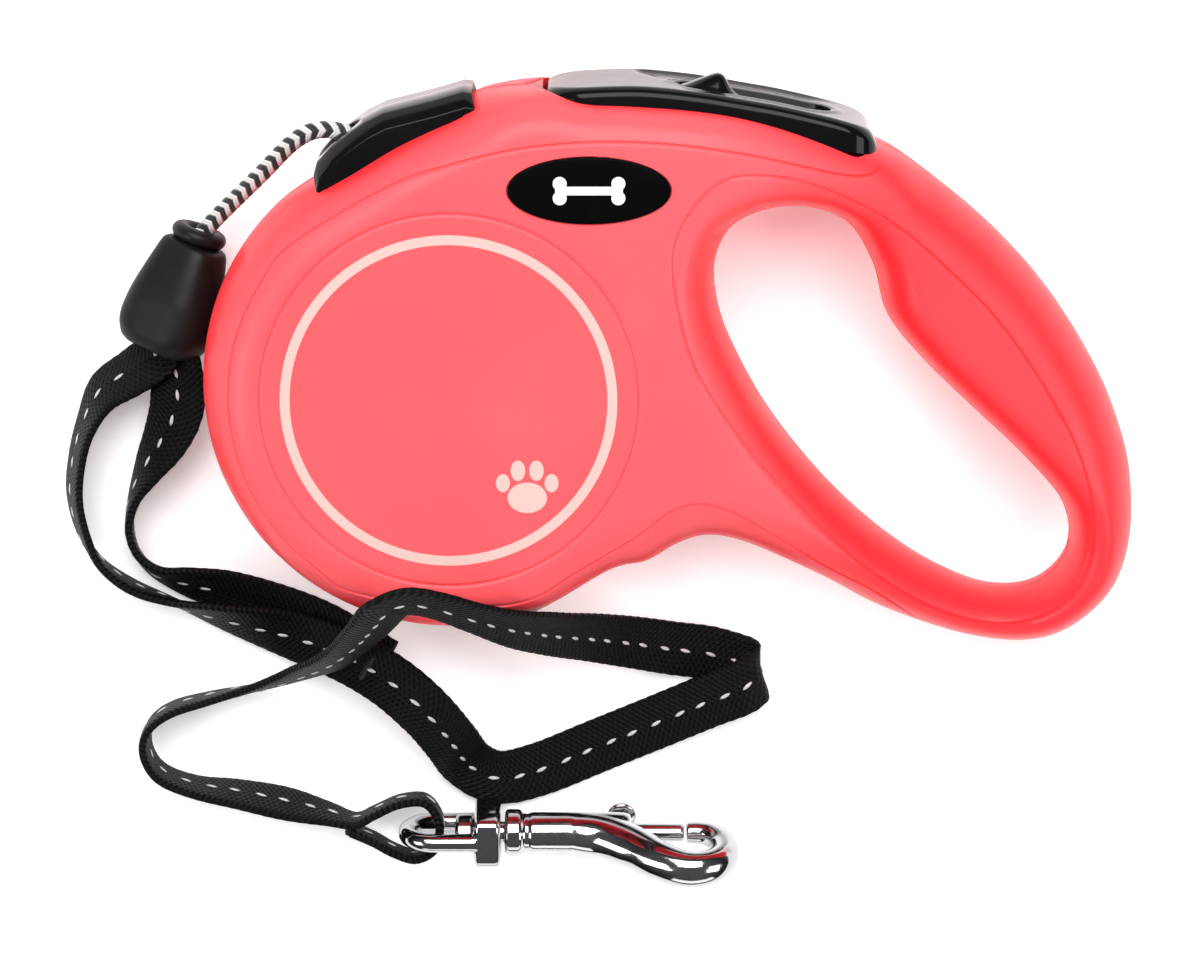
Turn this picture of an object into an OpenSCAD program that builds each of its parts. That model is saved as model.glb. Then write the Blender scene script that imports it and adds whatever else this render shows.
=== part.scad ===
// Retractable leash: spool casing with handle loop, brake, cord, webbing strap and swivel snap hook.
// The object lies on its side. +X runs from the cord end to the handle, +Y to the brake button, +Z up.
// Millimetres throughout.

/* [View] */
// Which sub-part to draw

/* [Casing] */
// Thickness of the casing
case_t = 36; // [30:0.5:40]
// Thickness of the handle loop
grip_t = 28; // [24:0.5:34]
// Shell wall
wall = 2.2; // [1.8:0.1:3]
// Radius of the round spool body
body_r = 43.5; // [42:0.5:45]
// Width of the rounded outer rim
rim_w = 9.5; // [8:0.5:10]
// Width of the rounded rim of the hand hole
hole_rim_w = 7; // [5:0.5:8]

/* [Spool] */
// Diameter of the axle
axle_d = 6; // [5:0.5:8]
// Radius of the hub that the cord is wound on
hub_r = 18; // [16:0.5:20]
// Radius of the wound cord when it is all in
winding_r = 30.5; // [28:0.5:31]
// Radius over the ratchet teeth
ratchet_r = 36.5; // [35:0.5:37]
// Number of ratchet teeth
teeth = 24; // [16:4:32]
// Depth of a ratchet tooth
tooth_h = 2.5; // [2:0.1:3]
// Turns of the flat spiral spring
spring_turns = 9; // [6:1:10]

/* [Brake] */
// Width of the brake button
button_w = 24; // [20:1:26]
// Tilt of the plunger's line from the X axis, in degrees
brake_a = 44; // [40:1:48]

/* [Cord and strap] */
// Diameter of the braided cord
cord_d = 3; // [2.5:0.1:4]
// Width of the webbing
strap_w = 10; // [8:0.5:12]
// Thickness of the webbing
strap_t = 1.6; // [1.2:0.1:2]

/* [Snap hook] */
// Diameter of the hook's barrel
barrel_d = 7.6; // [7:0.1:9]
// Diameter of the spring bolt
bolt_d = 3.4; // [3:0.1:4]
// Diameter of the eye's wire
eye_d = 3.4; // [3:0.1:4]
// Lean of the hook's plane from flat, in degrees
hook_lean = 73; // [60:1:90]
// Lean of the eye's plane from flat, in degrees
eye_lean = 84; // [60:1:90]

/* [Hidden] */
$fn = 64;
mid = case_t / 2;
axis_x = -38;
axis_y = -4;
axle_r = axle_d / 2;
fit = 0.06;
hub_floor = 5;
winding_z = [6.5, 26.5];
ratchet_t = 3;
button_z = mid - button_w / 2;
pivot = [-18.5, 43.2];
hook_pos = [0, -90.2, 7];

// ---- casing outline: the round body by angle, then the rest of the loop by hand ----
body_pts = [for (a = [112:22:310]) [axis_x + body_r * cos(a), axis_y + body_r * sin(a)]];
loop_pts = [[-3.5, -35.6], [2.5, -32.2], [7.5, -31], [14, -32.5], [23, -36.6], [33, -41.4],
            [44, -45.9], [54, -48.8], [63.5, -49.6], [72, -47.3], [78.5, -41.3], [81.5, -32.5],
            [81.3, -23], [79, -13], [74.5, -2], [66.5, 11], [57.5, 21.5], [47.5, 30.3],
            [37, 37.6], [25, 42.2], [11, 45.6], [-5, 47.2], [-20, 47.4], [-34, 46], [-45, 41.7]];
hole_pts = [[35.8, 17], [31.3, 24.3], [24.5, 27.5], [17, 27.3], [10.8, 23.8], [8, 17], [8.8, 9],
            [12, 1], [17, -8], [23.5, -16.8], [31, -25], [39.5, -32.3], [48.5, -38],
            [57.5, -41.2], [65.5, -40.3], [70.6, -34.5], [69.8, -26], [62.2, -16.8],
            [52.3, -7.4], [44, 0.8], [38.3, 8.2]];

function knot(p, i) = p[(i + len(p)) % len(p)];
function blend3(a, b, c, d, t) =
    0.5 * (2 * b + (c - a) * t + (2 * a - 5 * b + 4 * c - d) * t * t
           + (3 * b - a - 3 * c + d) * t * t * t);
function closed(p, n) = [for (i = [0:len(p) - 1]) for (k = [0:n - 1])
    blend3(knot(p, i - 1), knot(p, i), knot(p, i + 1), knot(p, i + 2), k / n)];
function unit(v) = v / norm(v);
function normal2(p, i) = let (d = unit(knot(p, i + 1) - knot(p, i - 1))) [d[1], -d[0]];
function grown(p, g) = [for (i = [0:len(p) - 1]) p[i] + g * normal2(p, i)];

outline = closed(concat(body_pts, loop_pts), 2);
hole = closed(hole_pts, 2);

// Levels [z, growth] of a rounded rim that ends flat at height h above the middle plane
function rim(h, w, start, sgn) = [for (a = [0:22.5:90]) [h * sin(a), start + sgn * w * (1 - cos(a))]];

// Solid through the same outline at several heights. up = 1 builds upwards, -1 downwards.
module loft(p, levels, up) {
    n = len(p);
    m = len(levels);
    rings = [for (l = levels) let (q = grown(p, l[1])) [for (v = q) [v[0], v[1], mid + up * l[0]]]];
    sides = [for (k = [0:m - 2]) for (i = [0:n - 1]) let (a = k * n + i, b = k * n + (i + 1) % n)
             each [[a, b + n, b], [a, a + n, b + n]]];
    low = [for (i = [0:n - 1]) i];
    high = [for (i = [n - 1:-1:0]) (m - 1) * n + i];
    faces = concat(sides, [low, high]);
    flipped = [for (f = faces) [for (i = [len(f) - 1:-1:0]) f[i]]];
    polyhedron([for (r = rings) each r], up > 0 ? faces : flipped);
}

function start_low(levels) = concat([[-1, levels[0][1]]], levels);
function past_top(levels) = let (l = levels[len(levels) - 1]) concat(levels, [[l[0] + 3, l[1]]]);

// Side view: full thickness at the body, thinner at the handle. g shrinks it for the inside.
module side_view(g) {
    body = case_t / 2 - g + 0.6;
    grip = grip_t / 2 - g;
    translate([0, 70, mid]) rotate([90, 0, 0]) linear_extrude(140)
        polygon([[-95, -body], [0, -body], [38, -grip], [95, -grip],
                 [95, grip], [38, grip], [0, body], [-95, body]]);
}

module outer_half(up) {
    intersection() {
        difference() {
            loft(outline, rim(mid, rim_w, 0, -1), up);
            loft(hole, past_top(start_low(rim(mid, hole_rim_w, 0, -1))), up);
        }
        side_view(0);
    }
}

module inner_half(up) {
    intersection() {
        difference() {
            loft(outline, start_low(rim(mid - wall, rim_w - 2, -wall, -1)), up);
            loft(hole, past_top(start_low(rim(mid - wall, hole_rim_w - 1, -wall, -1))), up);
        }
        side_view(wall);
    }
}

// Places children on the spool axis
module on_axis() translate([axis_x, axis_y, 0]) children();

module tube(r_out, r_in, z0, z1) {
    translate([0, 0, z0]) difference() {
        cylinder(r = r_out, h = z1 - z0);
        translate([0, 0, -1]) cylinder(r = r_in, h = z1 - z0 + 2);
    }
}

screw_at = [[2, -22], [1.6, 11.5], [46, 21.5], [64.5, 0.5], [76, -32]];
badge_at = [-13.8, 32.7];

function oval(a, b) = [for (t = [0:7.5:352.5]) [a * cos(t), b * sin(t)]];

outlet_pts = [[-61.4, 33.6], [-60.8, 35.8], [-58.5, 38.4], [-55.5, 40.8], [-52.5, 42.9],
              [-49.3, 44.5], [-41, 46.6], [-35.6, 48.2], [-34, 48], [-34.6, 45.2],
              [-37, 41.6], [-44, 38.6], [-52, 34], [-57.5, 29.8]];
slot_pts = [[-22.7, 52], [-22.7, 40.2], [0, 36.6], [20, 34], [36.3, 33], [36.3, 52]];

// Half shell with its cuts, taken as one mesh because its rim is faceted
module half_shell(up) {
    resize([0, 0, 0]) difference() {
        union() {
            difference() {
                outer_half(up);
                inner_half(up);
            }
            for (s = screw_at) let (h = (s[0] > 30 ? grip_t / 2 : mid) - 1.2)
                translate([s[0], s[1], up > 0 ? mid : mid - h]) cylinder(r = 3.8, h = h, $fn = 24);
        }
        translate([0, 0, mid - 10.2]) linear_extrude(20.4) offset(delta = 0.2) polygon(outlet_pts);
        translate([0, 0, button_z - 0.4]) linear_extrude(button_w + 0.8) polygon(slot_pts);
        translate([badge_at[0], badge_at[1], up > 0 ? case_t - 0.8 : -1.2])
            linear_extrude(2) polygon(oval(14.1, 5.9));
        for (s = screw_at) translate([s[0], s[1], 0]) {
            if (up > 0) translate([0, 0, mid - 1]) cylinder(r = 1.25, h = 9.5, $fn = 24);
            if (up < 0) translate([0, 0, -1]) cylinder(r = 1.6, h = mid + 2, $fn = 24);
            if (up < 0) translate([0, 0, -1]) cylinder(r = 2.8, h = 9.8, $fn = 24);
        }
    }
}

module housing_front() {
    color([0.9, 0.2, 0.22]) difference() {
        union() {
            half_shell(1);
            on_axis() translate([0, 0, case_t - wall - 1.9]) cylinder(r = 6, h = 2.9);
        }
        on_axis() translate([0, 0, 31]) cylinder(r = axle_r + 0.02, h = 3.8);
        translate([pivot[0], pivot[1], mid]) cylinder(r = 1.52, h = 15.02);
    }
}

module housing_back() {
    color([0.86, 0.18, 0.2]) difference() {
        union() {
            half_shell(-1);
            on_axis() translate([0, 0, 1]) cylinder(r = 6, h = 2.6);
        }
        on_axis() translate([0, 0, 1.2]) cylinder(r = axle_r + 0.02, h = 4);
        translate([pivot[0], pivot[1], mid - 15.02]) cylinder(r = 1.52, h = 15.02);
    }
}

module badge_front() {
    color([0.05, 0.05, 0.05]) translate([badge_at[0], badge_at[1], case_t - 0.8])
        linear_extrude(0.9) polygon(oval(14, 5.8));
}

module badge_back() {
    color([0.05, 0.05, 0.05]) translate([badge_at[0], badge_at[1], 0.05])
        linear_extrude(0.75) polygon(oval(14, 5.8));
}

module casing_screws() {
    color([0.6, 0.6, 0.62]) for (s = screw_at) translate([s[0], s[1], 7]) difference() {
        union() {
            cylinder(r = 2.6, h = 1.8);
            cylinder(r = 1.22, h = 18);
        }
        for (a = [0, 90]) rotate([0, 0, a]) translate([-1.6, -0.35, -1]) cube([3.2, 0.7, 1.8]);
    }
}

module cord_outlet() {
    run = cord_route_inner;
    color([0.06, 0.06, 0.06]) difference() {
        translate([0, 0, mid - 10]) linear_extrude(20) polygon(outlet_pts);
        between(run[0], run[1] + 12 * unit(run[1] - run[0])) cylinder(r = cord_d / 2 + 0.4, h = 70);
    }
}

// ---- brake ----
button_pts = [[-22.3, 45.6], [-21.8, 47.8], [-19.8, 49], [-12, 49.5], [-5.5, 49.6], [0, 49.2],
              [6.5, 48.4], [13.5, 47.2], [20, 46], [29.5, 43.7], [34, 42], [35.8, 40.2],
              [35.8, 37.6], [20, 40.4], [4, 42.4], [-6, 43], [-14, 40.6], [-22.3, 40.8]];
pocket_pts = [[-14.6, 46.4], [0.2, 46.4], [31.5, 40.8], [33.6, 39.6], [33.6, 30], [-14.6, 30]];

module brake_button() {
    color([0.05, 0.05, 0.05]) difference() {
        union() {
            difference() {
                translate([0, 0, button_z]) linear_extrude(button_w) polygon(button_pts);
                translate([0, 0, button_z + 2]) linear_extrude(button_w - 4) polygon(pocket_pts);
            }
            translate([4, 39.8, button_z + 1]) cube([8, 2, button_w - 2]);
        }
        translate([pivot[0], pivot[1], 0]) cylinder(r = 1.5 + fit, h = case_t);
        translate([pivot[0] - 4, 36, mid + 1.6]) cube([8.6, 11, 5.8]);
        slider_slot(27.2, 3.4);
    }
}

// Slot along the button's sloping top, from its front end
module slider_slot(len_x, half) {
    translate([0.8, 48.5, mid - half]) rotate([0, 0, -10.4]) translate([0, -6, 0])
        cube([len_x, 12, 2 * half]);
}

module brake_lock_slider() {
    color([0.09, 0.09, 0.09]) translate([0.8, 48.5, mid]) rotate([0, 0, -10.4]) {
        translate([0.3, 0, -3]) linear_extrude(6)
            polygon([[0, -2.6], [0, -0.2], [3, 0.8], [7, 2.9], [8.4, 2.8], [10.6, 0.4], [14, -0.3],
                     [22.6, -0.5], [22.6, -2.6]]);
        translate([0.3, -3.9, -5]) cube([22.6, 1.4, 10]);
    }
}

module brake_pivot_pin() {
    color([0.62, 0.62, 0.64]) translate([pivot[0], pivot[1], mid - 15]) cylinder(r = 1.5, h = 30);
}

module brake_spring() {
    wire = concat([[-8, 45.5, mid + 2.4], [-13, 45.6, mid + 2.4]],
                  [for (a = [90:30:1620]) [pivot[0] + 2.4 * cos(a), pivot[1] + 2.4 * sin(a),
                                           mid + 2.4 + 4.2 * (a - 90) / 1530]],
                  [[-20.9, 40.6, mid + 6.7], [-20.9, 38.6, mid + 6.7]]);
    color([0.62, 0.62, 0.64]) swept(wire, 0.4, 8);
}

// Places children in the plunger's own line: X along it from the spool axis
module on_plunger() translate([axis_x, axis_y, 0]) rotate([0, 0, brake_a]) children();

module brake_plunger() {
    color([0.85, 0.85, 0.82]) union() {
        on_plunger() {
            translate([ratchet_r + 0.8, -1.6, 25]) cube([6, 3.2, 5.2]);
            translate([ratchet_r + 4.8, -2.5, 25]) cube([18.6, 5, 5.2]);
        }
        translate([3.6, 36, 20]) cube([7.2, 3.5, 10.2]);
    }
}

module plunger_guide() {
    color([0.7, 0.7, 0.68]) on_plunger() difference() {
        translate([43, -4.5, wall]) cube([7, 9, 30]);
        translate([42, -2.6, 24.9]) cube([9, 5.2, 5.4]);
    }
}

// ---- spool ----
module spool_axle() {
    color([0.62, 0.62, 0.64]) on_axis() translate([0, 0, 1.2]) cylinder(r = axle_r, h = 33.6);
}

module axle_washers() {
    color([0.8, 0.7, 0.4]) on_axis() {
        tube(5.6, axle_r + fit, 20, 20.5);
        tube(5.6, axle_r + fit, 31.3, 31.9);
    }
}

module spool_drum() {
    color([0.2, 0.2, 0.21]) on_axis() difference() {
        union() {
            translate([0, 0, hub_floor]) cylinder(r = 34, h = winding_z[0] - hub_floor);
            translate([0, 0, hub_floor]) cylinder(r = hub_r, h = winding_z[1] - hub_floor);
            translate([0, 0, 20.6]) cylinder(r = 6, h = 10.6);
        }
        translate([0, 0, hub_floor - 1]) cylinder(r = 16.8, h = 2.5);
        translate([0, 0, hub_floor]) cylinder(r = hub_r - 2, h = 15.6);
        translate([0, 0, 20.5]) tube(hub_r - 2, 6, 0, 2.5);
        translate([0, 0, 20]) cylinder(r = axle_r + fit, h = 12);
    }
}

module ratchet_flange() {
    pitch = 360 / teeth;
    root = ratchet_r - tooth_h;
    pts = [for (i = [0:teeth - 1]) for (s = [[-0.34, root], [0.34, root], [0.4, ratchet_r],
           [0.6, ratchet_r]]) let (a = brake_a + (i + s[0]) * pitch) s[1] * [cos(a), sin(a)]];
    color([0.25, 0.25, 0.26]) on_axis() translate([0, 0, winding_z[1]]) difference() {
        linear_extrude(ratchet_t) polygon(pts);
        translate([0, 0, -1]) cylinder(r = 6, h = ratchet_t + 2);
    }
}

module cord_winding() {
    color([0.12, 0.12, 0.12]) on_axis() tube(winding_r, hub_r, winding_z[0], winding_z[1]);
}

module power_spring() {
    n = 36 * spring_turns;
    function at(i, off) = let (r = 5.8 + off + 9.4 * i / n) r * [cos(i * 10), sin(i * 10)];
    pts = concat([for (i = [0:n]) at(i, 0)], [for (i = [n:-1:0]) at(i, 0.4)]);
    color([0.5, 0.52, 0.56]) on_axis() translate([0, 0, 7.2]) linear_extrude(12.4) polygon(pts);
}

module spring_arbor() {
    color([0.8, 0.8, 0.78]) on_axis() tube(5, axle_r, 3.6, 20);
}

module spring_cover() {
    color([0.3, 0.3, 0.31]) on_axis() tube(16.8, 5.3, hub_floor, hub_floor + 1.5);
}

// ---- sweeping along a route ----
function tangent(p, i) = unit(p[min(i + 1, len(p) - 1)] - p[max(i - 1, 0)]);
function side(t) = abs(t[2]) > 0.99 ? [1, 0, 0] : unit(cross(t, [0, 0, 1]));

module skin(rings) {
    n = len(rings[0]);
    m = len(rings);
    sides = [for (k = [0:m - 2]) for (i = [0:n - 1]) let (a = k * n + i, b = k * n + (i + 1) % n)
             each [[a, b + n, b], [a, a + n, b + n]]];
    low = [for (i = [0:n - 1]) i];
    high = [for (i = [n - 1:-1:0]) (m - 1) * n + i];
    polyhedron([for (r = rings) each r], concat(sides, [low, high]));
}

// Round tube along p
module swept(p, r, n) {
    skin([for (i = [0:len(p) - 1]) let (t = tangent(p, i), u = side(t), v = cross(u, t))
          [for (k = [n - 1:-1:0]) p[i] + r * (cos(k * 360 / n) * u + sin(k * 360 / n) * v)]]);
}

// Flat band along rows [x, y, z, azimuth and elevation of its width, width]
function point(s) = [s[0], s[1], s[2]];
function across(s, t) = let (w = [cos(s[4]) * cos(s[3]), cos(s[4]) * sin(s[3]), sin(s[4])])
    unit(w - (w * t) * t);
module band(rows, thick) {
    p = [for (s = rows) point(s)];
    skin([for (i = [0:len(p) - 1]) let (t = tangent(p, i), w = across(rows[i], t), v = cross(t, w),
          a = rows[i][5] / 2 * w, b = thick / 2 * v)
          [p[i] - a - b, p[i] + a - b, p[i] + a + b, p[i] - a + b]]);
}

// Turns +Z of the children to the line from a to b, starting at a
module between(a, b) {
    d = unit(b - a);
    translate(a) rotate([0, acos(d[2]), atan2(d[1], d[0])]) children();
}

// ---- cord, stopper and strap ----
cord_route_inner = [[-25.2, 25.6, 18], [-33, 29.2, 18], [-43, 33.8, 18], [-52, 37.9, 18]];
cord_route_lead = [[-51.6, 37.7, 18], [-56.5, 39.9, 18], [-59.5, 40.4, 17.8], [-62.5, 39.8, 17.2],
                   [-66, 37.4, 16], [-70.9, 32.2, 13.8], [-75.8, 27.2, 11.2], [-80, 22.8, 9.2],
                   [-82.8, 19.4, 8.1], [-84.2, 15.6, 8], [-85.6, 11.8, 8]];
stop_top = [-82.7, 20, 8];
stop_end = [-90.2, -0.2, 8];

module cord_inner_run() {
    color([0.15, 0.15, 0.15]) swept(cord_route_inner, cord_d / 2, 8);
}

module cord_lead() {
    color([0.15, 0.15, 0.15]) swept(cord_route_lead, cord_d / 2, 8);
}

module on_stopper() between(stop_top, stop_end) children();

module stopper_bead() {
    color([0.08, 0.08, 0.08]) on_stopper() rotate_extrude()
        translate([3.3, -0.2]) circle(r = 1.4, $fn = 32);
}

module stopper_body() {
    color([0.07, 0.07, 0.07]) on_stopper() difference() {
        skin([for (l = [[1.2, 5.4], [8.4, 7.2], [15, 8.4], [18.6, 8.2], [21.6, 6.8]])
              [for (k = [0:7]) [l[1] * cos(k * 45 + 22.5), l[1] * sin(k * 45 + 22.5), l[0]]]]);
        cylinder(r = 1.6, h = 20);
        translate([0, 0, 11]) cylinder(r = 5.6, h = 12);
    }
}

module cord_crimp() {
    color([0.6, 0.6, 0.62]) on_stopper() translate([0, 0, 11]) difference() {
        cylinder(r = 2.6, h = 4);
        translate([0, 0, -1]) cylinder(r = 1.6, h = 6);
    }
}

module cord_end_loop() {
    loop = [for (a = [-80:20:260]) [2.2 * cos(a), 0, 20.4 - 3.6 * sin(a)]];
    color([0.15, 0.15, 0.15]) on_stopper() translate([0, -2.4, 0]) rotate([0, 0, 70])
        swept(loop, cord_d / 2 - 0.2, 8);
}

main_rows = [
    [-88.6, 4, 8, -20, 12, 9], [-90.6, -1.4, 7.6, -28, 30, 9.4], [-95, -4.8, 7, -45, 45, strap_w],
    [-100.4, -8.6, 6, -40, 55, strap_w], [-104, -14.6, 5.6, -25, 64, strap_w],
    [-105.6, -21, 5.5, -10, 66, strap_w], [-106, -28, 5.5, 0, 66, strap_w],
    [-104.5, -35, 5.6, 15, 75, strap_w], [-101.6, -40.3, 5.6, 40, 82, strap_w],
    [-96.3, -44.4, 5.6, 55, 86, strap_w], [-90, -47, 5.5, 65, 80, strap_w],
    [-83, -49.2, 5.4, 70, 62, strap_w], [-75, -51.6, 5, 72, 40, strap_w],
    [-66, -54, 5.8, 70, 15, strap_w], [-57, -56.8, 9.2, 65, 5, strap_w],
    [-49.5, -60.2, 13, 52, 0, strap_w], [-44, -65.6, 14.4, 32, -5, strap_w],
    [-40.2, -72.6, 9.4, 28, -8, strap_w], [-36.8, -79, 3, 42, 0, strap_w],
    [-31, -82.3, 1.2, 80, 0, strap_w], [-23, -80.8, 1.1, 108, 0, strap_w],
    [-12, -76, 1.8, 114, 0, strap_w], [-1.5, -71, 3.6, 114, 0, strap_w],
    [7.5, -66.5, 5.6, 114, 0, strap_w], [13.2, -63.4, 6.6, 110, 0, strap_w],
    [16, -61.6, 5.6, 107, 0, strap_w], [16.6, -60.8, 3.8, 105, 0, strap_w],
    [15.6, -60, 2.4, 103, 0, strap_w], [12.6, -59.2, 1.5, 100, 0, strap_w],
    [7.5, -58, 1.1, 96, 0, strap_w], [1, -56.8, 2.4, 90, 5, strap_w],
    [-6, -54.6, 6.6, 84, 14, strap_w], [-13, -51.9, 13.4, 78, 24, strap_w],
    [-20, -48.9, 22.2, 74, 34, strap_w], [-27, -45.4, 31.2, 72, 44, strap_w],
    [-33.5, -42.2, 36.6, 70, 50, strap_w], [-40, -39.3, 39.8, 72, 52, strap_w],
    [-45.2, -38.2, 41, 90, 52, strap_w], [-48.8, -39.8, 40, 120, 50, strap_w],
    [-51.8, -44.4, 34, 135, 46, strap_w], [-55.4, -50, 25.4, 136, 44, strap_w],
    [-60.2, -55.2, 18, 130, 50, strap_w], [-65.6, -59, 11.8, 120, 60, strap_w],
    [-73, -62.6, 7.4, 112, 74, strap_w], [-82, -65.2, 5.8, 105, 84, strap_w],
    [-89.3, -67.4, 5.6, 120, 88, strap_w], [-93.4, -70.6, 5.6, 180, 88, strap_w],
    [-94.2, -75, 5.6, 180, 88, strap_w], [-91.6, -79.4, 5.6, 240, 88, strap_w],
    [-85.5, -82, 5.6, 260, 86, strap_w], [-77.5, -83.4, 5.6, 260, 78, strap_w],
    [-68.8, -85.2, 5.7, 256, 72, 9.6], [-61.5, -87, 5.9, 255, 80, 8.4],
    [-56.4, -88.2, 6.3, 255, 88, 7], [-52.6, -86.4, 6.7, 240, 90, 6.2],
    [-48.4, -84.4, 7, 250, 90, 6], [-44, -84, 7, 280, 90, 6], [-41.6, -86.4, 7, 0, 90, 6],
    [-41, -89.6, 7, 0, 90, 6], [-42, -93, 7, 40, 90, 6], [-45.4, -94.8, 6.9, 80, 90, 6],
    [-49.4, -93.6, 6.8, 110, 90, 6], [-53, -91.6, 6.6, 110, 90, 6.4],
    [-57, -89.9, 6.3, 105, 88, 7]];
inner_rows = [
    [-88.2, 4.4, 8, -20, 8, 9], [-87.2, -3.4, 7.8, -12, 12, 9.4], [-86.9, -8, 7.4, -6, 6, strap_w],
    [-87.6, -12.5, 7, -12, 16, strap_w], [-89.6, -17.2, 6.6, -22, 36, strap_w],
    [-92.6, -22.2, 6.2, -22, 60, strap_w], [-95.2, -27.5, 5.8, -10, 80, strap_w],
    [-96.3, -33, 5.6, 5, 86, strap_w], [-95.2, -38, 5.6, 25, 80, strap_w],
    [-91.8, -41.6, 5.6, 45, 68, strap_w], [-86.4, -43.6, 4.8, 62, 48, strap_w],
    [-79.4, -45.8, 3.6, 70, 30, strap_w], [-71, -48.8, 3, 70, 20, strap_w],
    [-62.5, -52, 4.6, 68, 12, strap_w], [-55.2, -55.6, 7.8, 62, 4, strap_w],
    [-50.6, -58, 10, 56, 0, strap_w]];

module strap_main() color([0.05, 0.05, 0.05]) band(main_rows, strap_t);

module strap_inner() color([0.06, 0.06, 0.06]) band(inner_rows, strap_t);

module strap_joint_tack() {
    color([0.12, 0.12, 0.12]) translate([-53.4, -57.4, 10.6]) rotate([0, 24, -32])
        cube([2.4, 8, 4], center = true);
}

module strap_hook_tack() {
    color([0.12, 0.12, 0.12]) translate([-57, -89.1, 6.3]) rotate([0, 0, -14])
        cube([2, 4, 5], center = true);
}

// ---- snap hook: X along its axis, Y down into the hook's loop ----
module on_hook(lean) translate(hook_pos) rotate([180 - lean, 0, 0]) children();

module x_cyl(x0, x1, r) translate([x0, 0, 0]) rotate([0, 90, 0]) cylinder(r = r, h = x1 - x0);

module swivel_eye() {
    color([0.75, 0.75, 0.77]) on_hook(eye_lean) difference() {
        union() {
            intersection() {
                x_cyl(-34.7, -29.9, 6.6);
                translate([-35, -6.6, -4.4]) cube([6, 13.2, 8.8]);
            }
            for (s = [-5, 5]) translate([0, s, 0]) x_cyl(-41.9, -34, eye_d / 2);
            translate([-41.9, 0, 0]) rotate([0, 0, 90]) rotate_extrude(angle = 180)
                translate([5, 0]) circle(r = eye_d / 2, $fn = 32);
        }
        x_cyl(-36, -29, 2 + fit);
    }
}

module swivel_rivet() {
    color([0.7, 0.7, 0.72]) on_hook(hook_lean) {
        x_cyl(-38.2, -34.8, 3.1);
        x_cyl(-35, -29.2, 2);
    }
}

jaw = [[-19, 0, 3], [-14.5, 0.2, 3.7], [-11, 1.2, 3.8], [-6, 4.4, 3.6], [-1, 8.6, 3.4],
       [3.5, 11, 3.3], [7.5, 10.6, 3.1], [10.4, 7.6, 2.8], [10.6, 3.4, 2.5], [8.2, 0.6, 2.2],
       [5.8, 0, 2.05], [3.5, 0, 2]];

module hook_body() {
    rows = [for (i = [0:len(jaw) - 2]) for (k = [0:1])
            blend3(jaw[max(i - 1, 0)], jaw[i], jaw[i + 1], jaw[min(i + 2, len(jaw) - 1)], k / 2)];
    path = concat(rows, [jaw[len(jaw) - 1]]);
    mids = [for (s = path) [s[0], s[1], 0]];
    color([0.75, 0.75, 0.77]) on_hook(hook_lean) difference() {
        union() {
            x_cyl(-29.2, -25.9, 4.2);
            x_cyl(-26, -6.3, barrel_d / 2);
            skin([for (i = [0:len(path) - 1]) let (t = tangent(mids, i), u = cross(t, [0, 0, 1]))
                  [for (k = [0:15]) mids[i] + path[i][2]
                   * (cos(k * 22.5) * u - sin(k * 22.5) * [0, 0, 1])]]);
        }
        x_cyl(-23.5, -1, bolt_d / 2 + fit);
        translate([-15.2, -8, -0.9]) cube([10, 8, 1.8]);
    }
}

module hook_bolt() {
    color([0.78, 0.78, 0.8]) on_hook(hook_lean) {
        x_cyl(-15.8, 3.3, bolt_d / 2);
        translate([-8, 0, 0]) rotate([90, 0, 0]) cylinder(r = 0.8, h = 5);
        translate([-8, -4.6, 0]) rotate([90, 0, 0]) cylinder(r = 2.6, h = 1.4);
    }
}

module hook_bolt_spring() {
    turns = [for (a = [0:30:1800]) [-23.3 + 7.2 * a / 1800, 1.15 * cos(a), 1.15 * sin(a)]];
    color([0.6, 0.6, 0.62]) on_hook(hook_lean) swept_x(turns, 0.25, 8);
}

// Round wire along a coil whose axis is X
module swept_x(p, r, n) {
    skin([for (i = [0:len(p) - 1]) let (t = tangent(p, i), u = unit(cross(t, [1, 0, 0])),
          v = cross(u, t))
          [for (k = [n - 1:-1:0]) p[i] + r * (cos(k * 360 / n) * u + sin(k * 360 / n) * v)]]);
}

housing_front();
housing_back();
badge_front();
badge_back();
casing_screws();
cord_outlet();
brake_button();
brake_lock_slider();
brake_pivot_pin();
brake_spring();
brake_plunger();
plunger_guide();
spool_axle();
axle_washers();
spool_drum();
ratchet_flange();
cord_winding();
power_spring();
spring_arbor();
spring_cover();
cord_inner_run();
cord_lead();
cord_crimp();
cord_end_loop();
stopper_body();
stopper_bead();
strap_main();
strap_inner();
strap_joint_tack();
strap_hook_tack();
swivel_eye();
swivel_rivet();
hook_body();
hook_bolt();
hook_bolt_spring();
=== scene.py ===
"""Looks of the retractable leash: casing, brake button, cord, strap and snap hook."""

import bpy
import bmesh
import math
import numpy as np
from mathutils import Matrix, Vector
from mathutils.geometry import delaunay_2d_cdt


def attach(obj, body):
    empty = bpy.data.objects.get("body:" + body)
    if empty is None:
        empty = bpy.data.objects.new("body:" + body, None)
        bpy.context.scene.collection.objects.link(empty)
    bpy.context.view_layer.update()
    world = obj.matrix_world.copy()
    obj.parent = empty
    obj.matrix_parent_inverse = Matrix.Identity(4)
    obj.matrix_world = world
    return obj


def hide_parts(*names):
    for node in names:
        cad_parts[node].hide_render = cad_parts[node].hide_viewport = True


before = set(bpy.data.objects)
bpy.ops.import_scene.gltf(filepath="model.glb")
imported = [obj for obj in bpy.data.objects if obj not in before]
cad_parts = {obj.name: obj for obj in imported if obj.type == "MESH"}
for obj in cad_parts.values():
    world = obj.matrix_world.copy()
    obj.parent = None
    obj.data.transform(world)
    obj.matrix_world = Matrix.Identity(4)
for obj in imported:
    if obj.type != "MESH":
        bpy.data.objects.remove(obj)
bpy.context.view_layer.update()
scene = bpy.context.scene

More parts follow.
